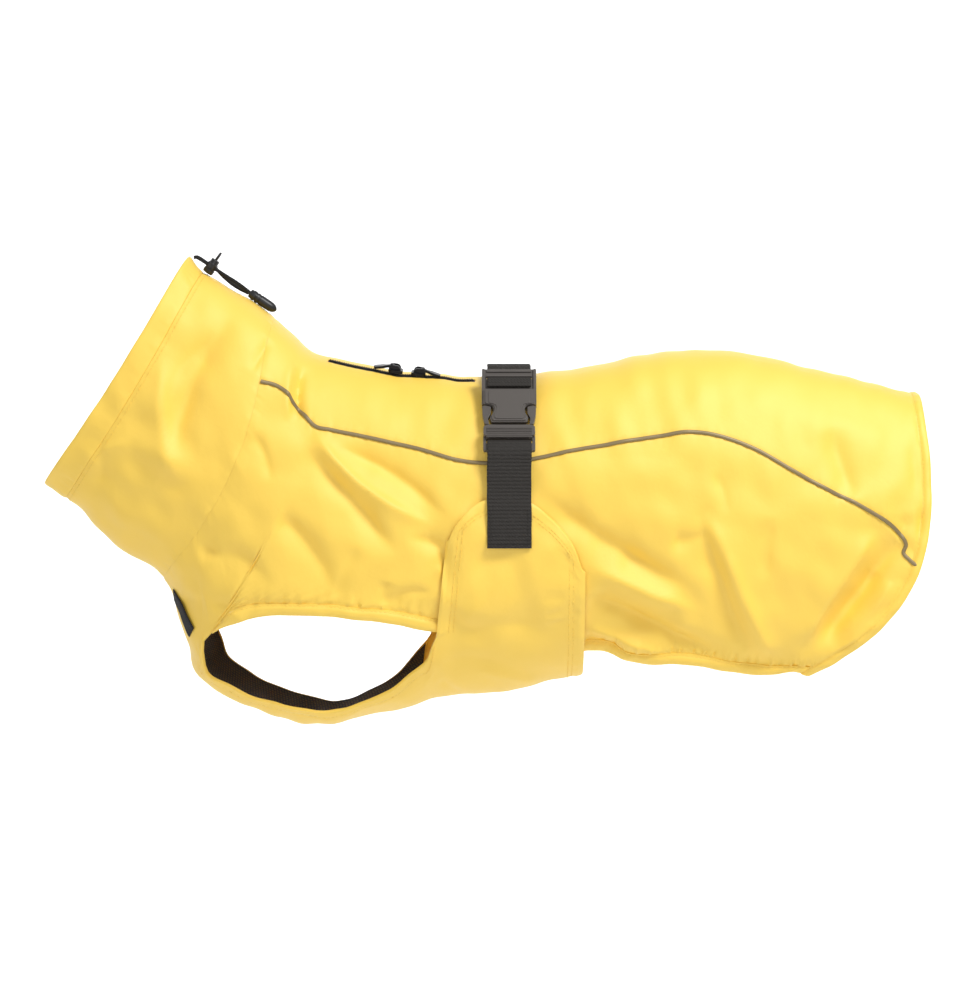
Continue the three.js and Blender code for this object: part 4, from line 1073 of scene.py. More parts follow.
CROWN = [(-27, 8.3), (-17, 9), (-5, 8.8), (7, 7.8), (21, 4.8)]
upper_line = [on_buckle(25.5, -1.8), on_buckle(33, -1.8), *CROWN, *strap_on_coat(-1, -9, -112, 10)]
layer_line = [on_buckle(17.6, 5.4), on_buckle(21, 5.6), on_buckle(25, 5.4)]
over_bar = [on_buckle(-25.2, 1.6), on_buckle(-26, 4.4), on_buckle(-29, 4.9), on_buckle(-33.5, 4.2)]
lower_line = [*over_bar, (-78.3, -52), (-79, -61), *strap_on_coat(1, -72, -109, 4)]
strap_upper, _ = make_webbing("strap_upper", "webbing_upper", upper_line)
strap_layer, _ = make_webbing("strap_layer", "webbing_layer", layer_line)
strap_lower, lower_path = make_webbing("strap_lower", "webbing_lower", lower_line[::-1])

# %% [markdown]
# The buckle is moulded plastic. Each plate here is an outline pushed out to a thickness
# with a bevel on its edges, the way the mould's halves leave it. The plug's arms show
# in the side windows, and its ribbed bar gives a grip.

# %% Buckle
def outline_plate(points, low, high):
    """Closed prism over an outline of x, up points, between two heights."""
    p = np.asarray(points, float)
    n = len(p)
    verts = np.vstack([np.c_[p, np.full(n, low)], np.c_[p, np.full(n, high)]])
    k = np.arange(n)
    side_faces = np.stack([k, (k + 1) % n, (k + 1) % n + n, k + n], -1).tolist()
    return verts, [k[::-1].tolist(), (k + n).tolist(), *side_faces]


def ring_plate(outside, inside, low, high):
    """Closed frame between two outlines with the same number of points."""
    o, i = np.asarray(outside, float), np.asarray(inside, float)
    n = len(o)
    layers = [np.c_[o, np.full(n, low)], np.c_[i, np.full(n, low)]]
    layers += [np.c_[o, np.full(n, high)], np.c_[i, np.full(n, high)]]
    k = np.arange(n)
    m = (k + 1) % n
    faces = [(k, k + n, m + n, m), (k + 2 * n, m + 2 * n, m + 3 * n, k + 3 * n)]
    faces += [(k, m, m + 2 * n, k + 2 * n), (k + n, k + 3 * n, m + 3 * n, m + n)]
    return np.vstack(layers), [row for face in faces for row in np.stack(face, -1).tolist()]


def rounded(corners, radius, steps=5):
    """Outline with each corner turned into an arc-like curve."""
    c = np.asarray(corners, float)
    before, after = np.roll(c, 1, 0), np.roll(c, -1, 0)
    points = []
    for p, corner, n in zip(before, c, after):
        start = corner + (p - corner) * min(0.5, radius / np.linalg.norm(p - corner))
        stop = corner + (n - corner) * min(0.5, radius / np.linalg.norm(n - corner))
        t = np.linspace(0, 1, steps)[:, None]
        points.append((1 - t) ** 2 * start + 2 * t * (1 - t) * corner + t * t * stop)
    return np.vstack(points)


def rectangle(x0, x1, y0, y1):
    return [(x0, y0), (x1, y0), (x1, y1), (x0, y1)]


def buckle_piece(name, node, plates, bevel=0.45):
    """One object from many plates, tilted onto the strap, with beveled edges."""
    verts, faces, count = [], [], 0
    for plate_verts, plate_faces in plates:
        verts.append(plate_verts)
        faces += [[v + count for v in face] for face in plate_faces]
        count += len(plate_verts)
    p = np.vstack(verts)
    y, z = on_buckle(p[:, 1], BUCKLE_SEAT + p[:, 2])
    mesh = bpy.data.meshes.new(name)
    mesh.from_pydata((np.stack([STRAP_X + p[:, 0], y, z], -1) * MM).tolist(), [], faces)
    mesh.shade_smooth()
    mesh.set_sharp_from_angle(angle=math.radians(40))
    piece = place_object(name, mesh)
    edges = piece.modifiers.new("edges", "BEVEL")
    edges.width = bevel * MM
    edges.segments = 3
    edges.limit_method = "ANGLE"
    edges.angle_limit = math.radians(40)
    edges.harden_normals = True
    return settle(piece, "buckle_plastic", node)


def mirrored(points):
    """Half outline on the +x side, closed by its mirror image."""
    half = np.asarray(points, float)
    return np.vstack([half, (half * (-1, 1))[::-1]])


def make_socket():
    face = mirrored([
        (11.8, -11.6), (12.8, -8), (10.9, -4.5), (10.2, -1),
        (11, 1.2), (13.4, 2.5), (17.2, 3), (17.2, 15.2),
    ])
    shoulder = face * (1.02, 1.0)
    return buckle_piece("buckle_socket_shell", "buckle_socket", [
        outline_plate(rounded(shoulder, 0.9), 0, 6.6),
        outline_plate(rounded(face * (0.95, 0.95) + (0, 0.2), 1.6), 6.4, 7.4),
        outline_plate(rounded(face * (0.82, 0.86) + (0, 0.4), 2.4), 7.2, 7.9),
        outline_plate(rounded(rectangle(-BUCKLE_HALF, -16.6, 3, 32.4), 0.9), 0.2, 5.2),
        outline_plate(rounded(rectangle(16.6, BUCKLE_HALF, 3, 32.4), 0.9), 0.2, 5.2),
        ring_plate(
            rounded(rectangle(-BUCKLE_HALF, BUCKLE_HALF, 15, 33), 1.6),
            rounded(rectangle(-BUCKLE_INSIDE, BUCKLE_INSIDE, 24.8, 28.2), 0.8), 0.2, 3.6,
        ),
        outline_plate(rounded(rectangle(-15.6, 15.6, 25.8, 27.2), 0.5), 3.2, 5.6),
        outline_plate(rounded(rectangle(-BUCKLE_INSIDE, BUCKLE_INSIDE, 30.2, 32), 0.8), 3.2, 4.6),
    ])


def make_plug():
    arm = [
        (12.4, 1.4), (16.4, 2.4), (18.3, 1.6), (18.1, -5),
        (16.6, -12.6), (13.6, -12.6), (14.4, -8), (12.4, -4),
    ]
    other = (np.asarray(arm, float) * (-1, 1))[::-1]
    waist = mirrored([(9, -13.4), (14.8, -13.2), (17.4, -14.6), (17.6, -20.6), (16.6, -21.8)])
    plates = [outline_plate(rounded(shape, 0.8), 0.9, 5.6) for shape in (arm, other)]
    plates.append(outline_plate(rounded(waist, 1.0), 0.7, 6.2))
    for up in (-16.2, -17.5, -18.8, -20.1):
        plates.append(outline_plate(rounded(rectangle(-15.5, 15.5, up - 0.35, up + 0.35), 0.3), 5.9, 6.7))
    plates.append(outline_plate(rounded(rectangle(-15.6, 15.6, -23.2, -22.2), 0.4), 3.0, 6.4))
    plates.append(ring_plate(
        rounded(rectangle(-17.6, 17.6, -32, -19.5), 1.6),
        rounded(rectangle(-15.6, 15.6, -26.4, -23), 0.8), 0.1, 3.1,
    ))
    return buckle_piece("buckle_plug_arms", "buckle_plug", plates, bevel=0.3)


socket, plug = make_socket(), make_plug()
print("buckle:", socket.name, plug.name)

# %% [markdown]
# ## Zip
# A short zip on the back lets a harness ring through. Two sliders stand head to head.
# The chain is a row of small interlocking coils on a tape; the sliders and their pulls
# are the frame's own solids, which carry the joints.

# %% Zip
TOOTH_PITCH = 1.6


def back_line(start, end, pitch):
    """Places along the zip, evenly spaced by length."""
    s = np.linspace(start, end, 400)
    p = coat_point(s, np.full(s.shape, ZIP_LEAN), 0)
    length = running_length(p)
    spots = np.arange(pitch / 2, length[-1], pitch)
    return np.interp(spots, length, s)


def frames_at(s, a, height):
    """Centre, direction along, across and outward of places on the coat."""
    centre, normal = coat_point(s, a, height), form_normal(s, a)
    along = unit(along_coat(s, a))
    return centre, along, np.cross(normal, along), normal


def scattered(name, shape, faces, centre, axes):
    """Many copies of one small closed shape, each set on its own three axes."""
    points = np.einsum("vk,nkc->nvc", shape, np.stack(axes, 1)) + centre[:, None]
    count = len(shape)
    all_faces = (np.asarray(faces)[None] + count * np.arange(len(centre))[:, None, None])
    return new_object(name, points.reshape(-1, 3), all_faces.reshape(-1, len(faces[0])), smooth_limit=60)


def capsule(length, radius, sides=6):
    """Rounded rod along the first axis, as quads with small flat ends."""
    stops = [(-0.5, 0.25), (-0.42, 0.8), (-0.2, 1), (0.2, 1), (0.42, 0.8), (0.5, 0.25)]
    turn = 2 * np.pi * np.arange(sides) / sides
    ring = np.stack([np.zeros(sides), np.cos(turn), np.sin(turn)], -1)
    points = [ring * r * radius + (x * length, 0, 0) for x, r in stops]
    k = np.arange(sides)
    m = (k + 1) % sides
    faces = [np.stack([k + sides * i, m + sides * i, m + sides * (i + 1), k + sides * (i + 1)], -1)
             for i in range(len(stops) - 1)]
    ends = [[0, 5, 4, 1], [1, 4, 3, 2]]
    last = sides * (len(stops) - 1)
    ends += [[last, last + 1, last + 4, last + 5], [last + 1, last + 2, last + 3, last + 4]]
    return np.vstack(points), np.vstack([*faces, np.array(ends)])


def make_zip():
    """Tape in the slot, and a coil tooth every pitch, leaning to each side in turn."""
    s = rows_between(ZIP_START + 0.02, ZIP_END - 0.02)[:, None]
    v = np.linspace(-1, 1, 9)
    a = ZIP_LEAN + v * angle_step(s, ZIP_LEAN, ZIP_HALF - 0.1)
    s = np.broadcast_to(s, a.shape)
    tape = drape("zip_tape_cloth", s, a, np.full(s.shape, -0.35), np.full(s.shape, -1.3))
    settle(tape, "zip_tape", "zip_chain")
    at = back_line(ZIP_START + 0.05, ZIP_END - 0.05, TOOTH_PITCH / 2)
    centre, along, across, normal = frames_at(at, np.full(at.shape, ZIP_LEAN), 0.25)
    side = np.where(np.arange(len(at)) % 2 == 0, 1.0, -1.0)[:, None]
    shape, faces = capsule(3.4, 0.5)
    lean = unit(across + 0.12 * along * side)
    axes = [lean, np.cross(normal, lean), normal]
    teeth = scattered("zip_teeth", shape, faces, centre + across * side * 0.6, axes)
    return tape, settle(teeth, "zip_tape")


zip_tape, zip_teeth = make_zip()

# %% [markdown]
# ## Drawcord
# The drawcord leaves the casing at the nape as two strands, which pass a spring toggle
# and end in one moulded stopper. It is short, so it simply lies on the nape.

# %% Drawcord
CORD_RADIUS = 1.35
CORD_LEFT = [
    (-219.6, -3, 84.2), (-217.3, -3, 84.3), (-214, -2.8, 82.4), (-210, -2.5, 79.8),
    (-206, -2.4, 77.2), (-203.4, -2.2, 75.4), (-197.5, -2.6, 71.6), (-190.5, -2.8, 67.2),
    (-184.5, -2.2, 62.8), (-180.4, -1.8, 59.4),
]
CORD_RIGHT = [
    (-219.6, 3, 84.2), (-217.3, 3, 84.3), (-214, 2.8, 82.4), (-210, 2.6, 79.6),
    (-206, 2.4, 77), (-203.4, 2.2, 75.1), (-199, 3.6, 70.4), (-193.5, 4.2, 65.6),
    (-187.5, 3.4, 61.9), (-181.6, 1.9, 59.2),
]


def path_frames(points):
    """Unit tangent and two unit normals at each point of a path."""
    tangent = unit(np.gradient(points, axis=0))
    side = unit(np.cross(tangent, (0.1, 1, 0.05)))
    return tangent, side, np.cross(tangent, side)


def tube(name, points, radius_of):
    """Tube round a path; radius_of(length, angle) gives its surface, ends closed to a dot."""
    length = running_length(points)
    _, side, up = path_frames(points)
    turn = 2 * np.pi * np.arange(14) / 14
    r = radius_of(length[:, None], turn[None, :])
    r[0], r[-1] = 0.02, 0.02
    ring = side[:, None] * np.cos(turn)[None, :, None] + up[:, None] * np.sin(turn)[None, :, None]
    grid = points[:, None] + ring * r[..., None]
    n, m = grid.shape[:2]
    index = np.arange(n * m).reshape(n, m)
    nxt = np.roll(index, -1, 1)
    faces = np.stack([index[:-1], nxt[:-1], nxt[1:], index[1:]], -1).reshape(-1, 4)
    uv = np.stack(np.broadcast_arrays(length[:, None], turn[None, :] * CORD_RADIUS), -1)
    return new_object(name, grid.reshape(-1, 3), faces[:, ::-1], uv.reshape(-1, 2), smooth_limit=60)


def make_strand(name, points):
    """Braid: radius * (0.96 + 0.07 sin(2 turn + 3.1 length) sin(2 turn - 3.1 length))."""
    path = smooth_line(points, 14)
    length = float(np.linalg.norm(np.diff(path, axis=0), axis=-1).sum())

    def braid(along, turn):
        weave = np.sin(2 * turn + along * 3.1) * np.sin(2 * turn - along * 3.1)
        return CORD_RADIUS * (0.96 + 0.07 * weave)

    piece = tube(f"drawcord_{name}", path, braid)
    settle(piece, "drawcord", f"drawcord_{name}_upper", f"drawcord_{name}_lower")
    print(piece.name, round(length, 1), "mm")
    return piece, path, length


strand_left, path_left, length_left = make_strand("left", CORD_LEFT)
strand_right, path_right, length_right = make_strand("right", CORD_RIGHT)

# %% [markdown]
# The toggle is a small spring barrel with a press button and a ring at the back end.
# It stays where it is on the cord, as in the photograph.

# %% Toggle and stopper
TOGGLE_X, TOGGLE_Z = -207.4, 78
TOGGLE_LEAN = 0.62
RING_RADIUS = 3.1
RING_WIRE = 0.85
STOPPER_FROM = np.array((-180.9, 0, 59.6))
STOPPER_TO = np.array((-162.6, 0, 47.2))
STOPPER_RADIUS = 4.2


def turned(name, profile, start, direction, sides=28, flat=1.0):
    """Solid of revolution along a direction; profile rows are distance and radius."""
    p = np.asarray(profile, float)
    d = unit(np.asarray(direction, float))
    u = unit(np.cross(d, (0, 1, 0)))
    v = np.cross(d, u)
    turn = 2 * np.pi * np.arange(sides) / sides
    ring = u * np.cos(turn)[:, None] * flat + v * np.sin(turn)[:, None]
    grid = np.asarray(start) + d * p[:, None, :1] + ring[None] * p[:, None, 1:]
    n = len(p)
    index = np.arange(n * sides).reshape(n, sides)
    nxt = np.roll(index, -1, 1)
    faces = np.stack([index[:-1], index[1:], nxt[1:], nxt[:-1]], -1).reshape(-1, 4)
    return new_object(name, grid.reshape(-1, 3), faces, smooth_limit=40)


def make_toggle():
    """Barrel square to the cord, its button, and a ring standing on the back end."""
    up = np.array((math.sin(TOGGLE_LEAN), 0, math.cos(TOGGLE_LEAN)))
    start = np.array((TOGGLE_X, 0, TOGGLE_Z)) - up * 5.5
    barrel = [
        (0.02, 0.02), (0, 4.4), (0.5, 5.1), (1.6, 5.4), (3.2, 5.4), (3.5, 5.0), (3.9, 5.0), (4.2, 5.4),
        (7.6, 5.4), (7.9, 4.6), (8.4, 4.3), (10.4, 4.3), (10.9, 3.9), (11.0, 0.02),
    ]
    body = turned("toggle_barrel", barrel, start, up, flat=0.72)
    turn = 2 * np.pi * np.arange(36)[:, None] / 36
    around = 2 * np.pi * np.arange(12)[None, :] / 12
    along = np.cross((0, 1, 0), up)
    centre = start + up * 13.4
    ring_x = (RING_RADIUS + RING_WIRE * np.cos(around)) * np.cos(turn)
    ring_y = (RING_RADIUS + RING_WIRE * np.cos(around)) * np.sin(turn)
    grid = centre + up * ring_x[..., None] + np.array((0.0, 1, 0)) * ring_y[..., None]
    grid = grid + along * (RING_WIRE * np.sin(around) + 0 * turn)[..., None]
    n, m = grid.shape[:2]
    index = np.arange(n * m).reshape(n, m)
    down, right = np.roll(index, -1, 0), np.roll(index, -1, 1)
    both = np.roll(down, -1, 1)
    faces = np.stack([index, down, both, right], -1).reshape(-1, 4)
    ring = new_object("toggle_ring", grid.reshape(-1, 3), faces)
    return settle(body, "cord_plastic", "toggle"), settle(ring, "cord_plastic")


def make_stopper():
    """Moulded cord end: a waist where the cords enter, a grip, and a round nose."""
    along = STOPPER_TO - STOPPER_FROM
    length = float(np.linalg.norm(along))
    r = STOPPER_RADIUS
    profile = [
        (0.02, 0.02), (0, r * 0.72), (0.6, r * 0.86), (2.0, r * 0.9), (2.6, r * 0.98), (4.4, r),
        (4.7, r * 0.88), (5.3, r * 0.88), (5.6, r), (7.4, r), (7.7, r * 0.9), (8.3, r * 0.9),
        (8.6, r), (length - 7, r), (length - 4.5, r * 0.96), (length - 2.4, r * 0.8),
        (length - 1.0, r * 0.52), (length - 0.2, r * 0.2), (length, 0.02),
    ]
    piece = turned("cord_stopper", profile, STOPPER_FROM, along, flat=0.85)
    return settle(piece, "cord_plastic", "cord_end")


toggle, toggle_ring = make_toggle()
stopper = make_stopper()

# %% [markdown]
# ## Label and stitches
# The woven label on the chest is left bare. All visible seams get a run of short
# stitches: each is a small rounded rod, laid along the seam and half sunk in the cloth.

# %% Label
LABEL_TOP, LABEL_LOW = (-234.5, -149), (-219.5, -173)
LABEL_HALF = 6.2


def make_label():
    """Folded strip: flat across, with softly rounded sides and a slight curl."""
    t = np.linspace(0, 1, 26)
    s, a = locate(np.outer(1 - t, LABEL_TOP) + np.outer(t, LABEL_LOW))
    centre, normal = coat_point(s, a, 0.3), form_normal(s, a)
    across = unit(np.cross(np.gradient(centre, axis=0), normal))
    v = np.sin(np.linspace(-1, 1, 17) * np.pi / 2)
    tall = 0.25 + 0.7 * np.sqrt(np.clip(1 - v ** 8, 0, 1))
    tall = tall[None] * np.clip(np.minimum(t, 1 - t) / 0.04, 0.3, 1)[:, None]
    flat = centre[:, None] + across[:, None] * (v * LABEL_HALF)[None, :, None]
    outer = flat + normal[:, None] * tall[..., None]
    piece = wall_from_grids("label_strip", outer, flat - normal[:, None] * 0.05)
    return settle(piece, "label_tape", "label")


label = make_label()

# %% Stitches
STITCH_LENGTH = 2.3
STITCH_PITCH = 3.1
STITCH_RADIUS = 0.26
STRAP_STITCH_PITCH = 2.6
EDGE_STITCHING = 1.3


def sew(name, runs, slot, lift=0.1):
    """Stitches along several lines; each line is section numbers, angles and heights."""
    centres, axes = [], [[], [], []]
    for s, a, height in runs:
        p, normal = coat_point(s, a, np.asarray(height) + lift), form_normal(s, a)
        length = running_length(p)
        spots = np.arange(STITCH_PITCH / 2, length[-1], STITCH_PITCH)
        at = np.stack([np.interp(spots, length, p[:, k]) for k in range(3)], -1)
        ahead = np.stack([np.interp(spots + 1, length, p[:, k]) for k in range(3)], -1)
        behind = np.stack([np.interp(spots - 1, length, p[:, k]) for k in range(3)], -1)
        n = np.stack([np.interp(spots, length, normal[:, k]) for k in range(3)], -1)
        x = unit(ahead - behind)
        y = unit(np.cross(n, x))
        centres.append(at)
        for held, axis in zip(axes, (x, y, np.cross(x, y))):
            held.append(axis)
    shape, faces = capsule(STITCH_LENGTH, STITCH_RADIUS)
    piece = scattered(name, shape, faces, np.vstack(centres), [np.vstack(k) for k in axes])
    print(name, sum(len(c) for c in centres), "stitches")
    return settle(piece, slot)


def ring_line(s_at, offset, phase):
    """Line round the neck at a distance behind a section."""
    a = np.linspace(np.pi, 3 * np.pi, 500)
    s = s_at + section_step(s_at, a, offset)
    return s, a, stitched(a * COLLAR_RADIUS + phase, np.full(a.shape, abs(offset)))


def hem_line(sign, inset):
    s = np.linspace(LEG_START + HEM_GROWTH, REAR_EDGE - 0.3, 700)
    a = hem_angle(s, HEM_WIDTH - inset)
    at = row_at(s, a)
    high, _ = hem_profile(inset / HEM_WIDTH, HEM_WIDTH, form(at, a)[..., 0])
    return at, sign * a, high


def rear_line(inset):
    low = float(side_low_angle(REAR_EDGE)) - 0.06
    a = np.linspace(-low, low, 500)
    s = REAR_EDGE - section_step(REAR_EDGE - 0.2, a, HEM_WIDTH - inset)
    return s, a, hem_profile(inset / HEM_WIDTH, HEM_WIDTH, a * TAIL_RADIUS)[0]


def tab_line(side, inset):
    """Line inside the tab's edge: up its front, over its round top, down its rear."""
    s = np.linspace(BAND_FRONT + 0.02, BAND_REAR - 0.02, 160)
    top = tab_angle(s) + angle_step(s, tab_angle(s), inset)
    front = BAND_FRONT + section_step(BAND_FRONT, 1.9, inset)
    rear = BAND_REAR - section_step(BAND_REAR, 1.9, inset)
    keep = (s > front) & (s < rear)
    up = np.linspace(BAND_CORNER, float(tab_angle(front)) + 0.1, 40)
    down = np.linspace(float(tab_angle(rear)) + 0.1, np.pi, 110)
    s = np.concatenate([np.full(up.shape, front), s[keep], np.full(down.shape, rear)])
    a = np.concatenate([up, top[keep], down])
    a = a if side > 0 else 2 * np.pi - a
    return s, a, under_height(s, a)


def under_line(side, inset):
    """Line along the leg opening's lower edge."""
    s = np.linspace(LEG_START + 0.12, BAND_FRONT - 0.02, 400)
    a = LEG_EDGES[side](s) + slanted_step(s, LEG_EDGES[side], inset)
    a = a if side > 0 else 2 * np.pi - a
    return s, a, under_height(s, a)


cloth_runs = [ring_line(SEAM_CASING, 2.6, 0)]
cloth_runs += [hem_line(side, EDGE_STITCHING) for side in (1, -1)]
cloth_runs.append(rear_line(EDGE_STITCHING))
for side in (1, -1):
    cloth_runs += [tab_line(side, TURNED), under_line(side, TURNED)]
    cloth_runs.append(tab_line(side, TURNED + 2.6))
stitches = sew("stitches_yellow", cloth_runs, "shell")


def strap_stitches():
    """Box of stitches where the strap's end is sewn to the tab."""
    y, z, ny, nz, length = lower_path.T
    low, high = 2.0, 26.0
    half = WEBBING_WIDTH / 2 - 2.4
    lines = []
    for x in (-half, half):
        spots = np.arange(low, high, STRAP_STITCH_PITCH)
        none, all_ones = np.zeros(spots.shape), np.ones(spots.shape)
        lines.append(np.stack([x * all_ones, spots, none, all_ones], -1))
    for at in (low, high):
        spots = np.arange(-half, half, STRAP_STITCH_PITCH)
        none, all_ones = np.zeros(spots.shape), np.ones(spots.shape)
        lines.append(np.stack([spots, at * all_ones, all_ones, none], -1))
    rows = np.vstack(lines)
    py, pz = np.interp(rows[:, 1], length, y), np.interp(rows[:, 1], length, z)
    qy, qz = np.interp(rows[:, 1], length, ny), np.interp(rows[:, 1], length, nz)
    out = np.stack([np.zeros(len(rows)), qy, qz], -1)
    along = np.stack([np.zeros(len(rows)), -qz, qy], -1)
    across = np.tile((1.0, 0, 0), (len(rows), 1))
    centre = np.stack([STRAP_X + rows[:, 0], py, pz], -1) + out * (WEBBING_WALL + 0.02)
    first = across * rows[:, 2:3] + along * rows[:, 3:4]
    shape, faces = capsule(2.1, 0.28)
    piece = scattered("stitches_black", shape, faces, centre, [first, np.cross(out, first), out])
    return settle(piece, "webbing")


strap_sewing = strap_stitches()

# %% [markdown]
# ## Materials
# All finishes are small procedural graphs. Two shared groups do the fine work: one
# makes the faint crinkle of coated cloth, the other a weave in the cloth's own
# directions. Their outputs only feed colour, roughness and bump height.

# %% Shared node groups
def new_group(name, outputs, inputs=()):
    """Shader group with named inputs and outputs, and its two end nodes."""
    tree = bpy.data.node_groups.new(name, "ShaderNodeTree")
    for label_text, default in inputs:
        socket = tree.interface.new_socket(label_text, in_out="INPUT", socket_type="NodeSocketFloat")
        socket.default_value = default
    for label_text in outputs:
        tree.interface.new_socket(label_text, in_out="OUTPUT", socket_type="NodeSocketFloat")
    return tree, tree.nodes.new("NodeGroupInput"), tree.nodes.new("NodeGroupOutput")


def noise(tree, vector, scale, detail=3.0, roughness=0.5):
    node = tree.nodes.new("ShaderNodeTexNoise")
    node.inputs["Scale"].default_value = scale
    node.inputs["Detail"].default_value = detail
    node.inputs["Roughness"].default_value = roughness
    tree.links.new(vector, node.inputs["Vector"])
    return node.outputs[0]


def math_node(tree, operation, first, second=None):
    """Math node; each operand is a number or another node's output."""
    node = tree.nodes.new("ShaderNodeMath")
    node.operation = operation
    for socket, value in zip(node.inputs, (first, second)):
        if value is None:
            continue
        if isinstance(value, (int, float)):
            socket.default_value = value
        else:
            tree.links.new(value, socket)
    return node.outputs[0]


def make_crinkle_group():
    """Crinkle: three sizes of noise. Cloud: slow change of tone, Height: fine relief, Painted glint:
    noise for painted sparkle.
    """
    tree, _, end = new_group("crinkle", ("Cloud", "Height", "Painted glint"))
    at = tree.nodes.new("ShaderNodeTexCoord").outputs["Object"]
    slow, middle, fine = noise(tree, at, 14, 2), noise(tree, at, 75, 3), noise(tree, at, 420, 2)
    coarse = math_node(tree, "MULTIPLY", middle, 0.8)
    height = math_node(tree, "ADD", coarse, math_node(tree, "MULTIPLY", fine, 0.12))
    tree.links.new(slow, end.inputs["Cloud"])
    tree.links.new(height, end.inputs["Height"])
    tree.links.new(math_node(tree, "MULTIPLY_ADD", middle, 0.16), end.inputs["Painted glint"])
    return tree


def make_weave_group():
    """Weave: |sin| threads both ways over the cloth's own u and v, in metres."""
    tree, start, end = new_group("weave", ("Threads", "Holes"), (("Pitch", 0.001),))
    split = tree.nodes.new("ShaderNodeSeparateXYZ")
    tree.links.new(tree.nodes.new("ShaderNodeTexCoord").outputs["UV"], split.inputs[0])
    waves = []
    for axis in ("X", "Y"):
        turns = math_node(tree, "DIVIDE", split.outputs[axis], start.outputs["Pitch"])
        waves.append(math_node(tree, "SINE", math_node(tree, "MULTIPLY", turns, math.pi)))
    product = math_node(tree, "MULTIPLY", waves[0], waves[1])
    size = math_node(tree, "ABSOLUTE", product)
    tree.links.new(math_node(tree, "MULTIPLY_ADD", product, 0.5), end.inputs["Threads"])
    tree.links.new(math_node(tree, "GREATER_THAN", size, 0.55), end.inputs["Holes"])
    return tree


CRINKLE, WEAVE = make_crinkle_group(), make_weave_group()


def colour_of(red, green, blue):
    """Linear colour from the 0 to 255 values a screen shows."""
    def linear(value):
        v = value / 255
        return v / 12.92 if v <= 0.04045 else ((v + 0.055) / 1.055) ** 2.4

    return (linear(red), linear(green), linear(blue), 1)


def new_material(name, colour, roughness, **constants):
    """Principled material with constants on its own sockets."""
    material = bpy.data.materials.new(name)
    material.use_nodes = True
    tree = material.node_tree
    shader = tree.nodes["Principled BSDF"]
    shader.inputs["Base Color"].default_value = colour
    shader.inputs["Roughness"].default_value = roughness
    for socket, value in constants.items():
        shader.inputs[socket.replace("_", " ")].default_value = value
    material.diffuse_color = colour
    return material, tree, shader


def use_group(tree, group):
    node = tree.nodes.new("ShaderNodeGroup")
    node.node_tree = group
    return node


def bump(tree, shader, height, distance, strength=1.0):
    node = tree.nodes.new("ShaderNodeBump")
    node.inputs["Distance"].default_value = distance
    node.inputs["Strength"].default_value = strength
    tree.links.new(height, node.inputs["Height"])
    tree.links.new(node.outputs["Normal"], shader.inputs["Normal"])


def two_colours(tree, shader, factor, first, second):
    node = tree.nodes.new("ShaderNodeMix")
    node.data_type = "RGBA"
    node.inputs["A"].default_value = first
    node.inputs["B"].default_value = second
    tree.links.new(factor, node.inputs["Factor"])
    tree.links.new(node.outputs["Result"], shader.inputs["Base Color"])


# %% Materials
def shell_material():
    """Coated polyester: yellow, half glossy, with a faint crinkle."""
    material, tree, shader = new_material(
        "shell_cloth", colour_of(250, 218, 84), 0.64, IOR=1.5, Specular_IOR_Level=1.0,
        Sheen_Weight=0.1, Sheen_Roughness=0.5, Coat_Weight=0.7, Coat_Roughness=0.7, Coat_IOR=1.7,
    )
    group = use_group(tree, CRINKLE)
    two_colours(tree, shader, group.outputs["Cloud"], colour_of(253, 208, 52), colour_of(253, 211, 63))
    bump(tree, shader, group.outputs["Height"], 0.0012, 0.35)
    return material


def mesh_material():
    """Black mesh; through its holes the yellow shell shows as thin olive lines: the shell's colour with
    painted shade from inside the coat.
    """
    material, tree, shader = new_material("mesh_lining", colour_of(34, 31, 33), 0.85)
    group = use_group(tree, WEAVE)
    group.inputs["Pitch"].default_value = 0.0021
    # Holes: the shell's yellow darkened to olive, painted shade.
    two_colours(tree, shader, group.outputs["Holes"], colour_of(40, 35, 40), colour_of(70, 62, 40))
    bump(tree, shader, group.outputs["Threads"], 0.0004, 0.6)
    return material


def woven_material(name, colour, pitch, roughness=0.8, depth=0.0003):
    material, tree, shader = new_material(name, colour, roughness)
    group = use_group(tree, WEAVE)
    group.inputs["Pitch"].default_value = pitch
    bump(tree, shader, group.outputs["Threads"], depth, 0.7)
    return material


def plastic_material(name, colour, roughness):
    material, tree, shader = new_material(name, colour, roughness, IOR=1.5)
    group = use_group(tree, CRINKLE)
    bump(tree, shader, group.outputs["Height"], 0.0002, 0.3)
    return material


def piping_material():
    """Reflective tape: glass beads in grey resin, so a slight metal sheen; noise mixes a lighter brown
    into its colour as painted glints of the beads.
    """
    material, tree, shader = new_material("piping_tape", colour_of(140, 134, 124), 0.42, Metallic=0.25)
    group = use_group(tree, CRINKLE)
    # Painted glints: lighter patches that stand for the beads' sparkle.
    two_colours(tree, shader, group.outputs["Painted glint"], colour_of(120, 104, 72), colour_of(152, 134, 96))
    return material


shell = shell_material()
mesh_lining = mesh_material()
thread = woven_material("thread_yellow", colour_of(246, 208, 92), 0.0004, 0.6)
piping_tape = piping_material()
webbing = woven_material("webbing_black", colour_of(38, 34, 30), 0.0011, 0.75)
cord_braid = woven_material("cord_black", colour_of(24, 24, 26), 0.0008, 0.85)
zip_black = woven_material("zip_black", colour_of(26, 26, 28), 0.0006, 0.7)
buckle_plastic = plastic_material("plastic_black", colour_of(82, 77, 73), 0.36)
cord_plastic = plastic_material("cord_plastic", colour_of(28, 28, 30), 0.4)
label_tape = woven_material("label_black", colour_of(30, 28, 31), 0.0005, 0.8)
zip_metal, _, _ = new_material("zip_metal", colour_of(36, 36, 39), 0.35, Metallic=0.8)


def wear(material, *pieces):
    for piece in pieces:
        piece.data.materials.clear()
        piece.data.materials.append(material)


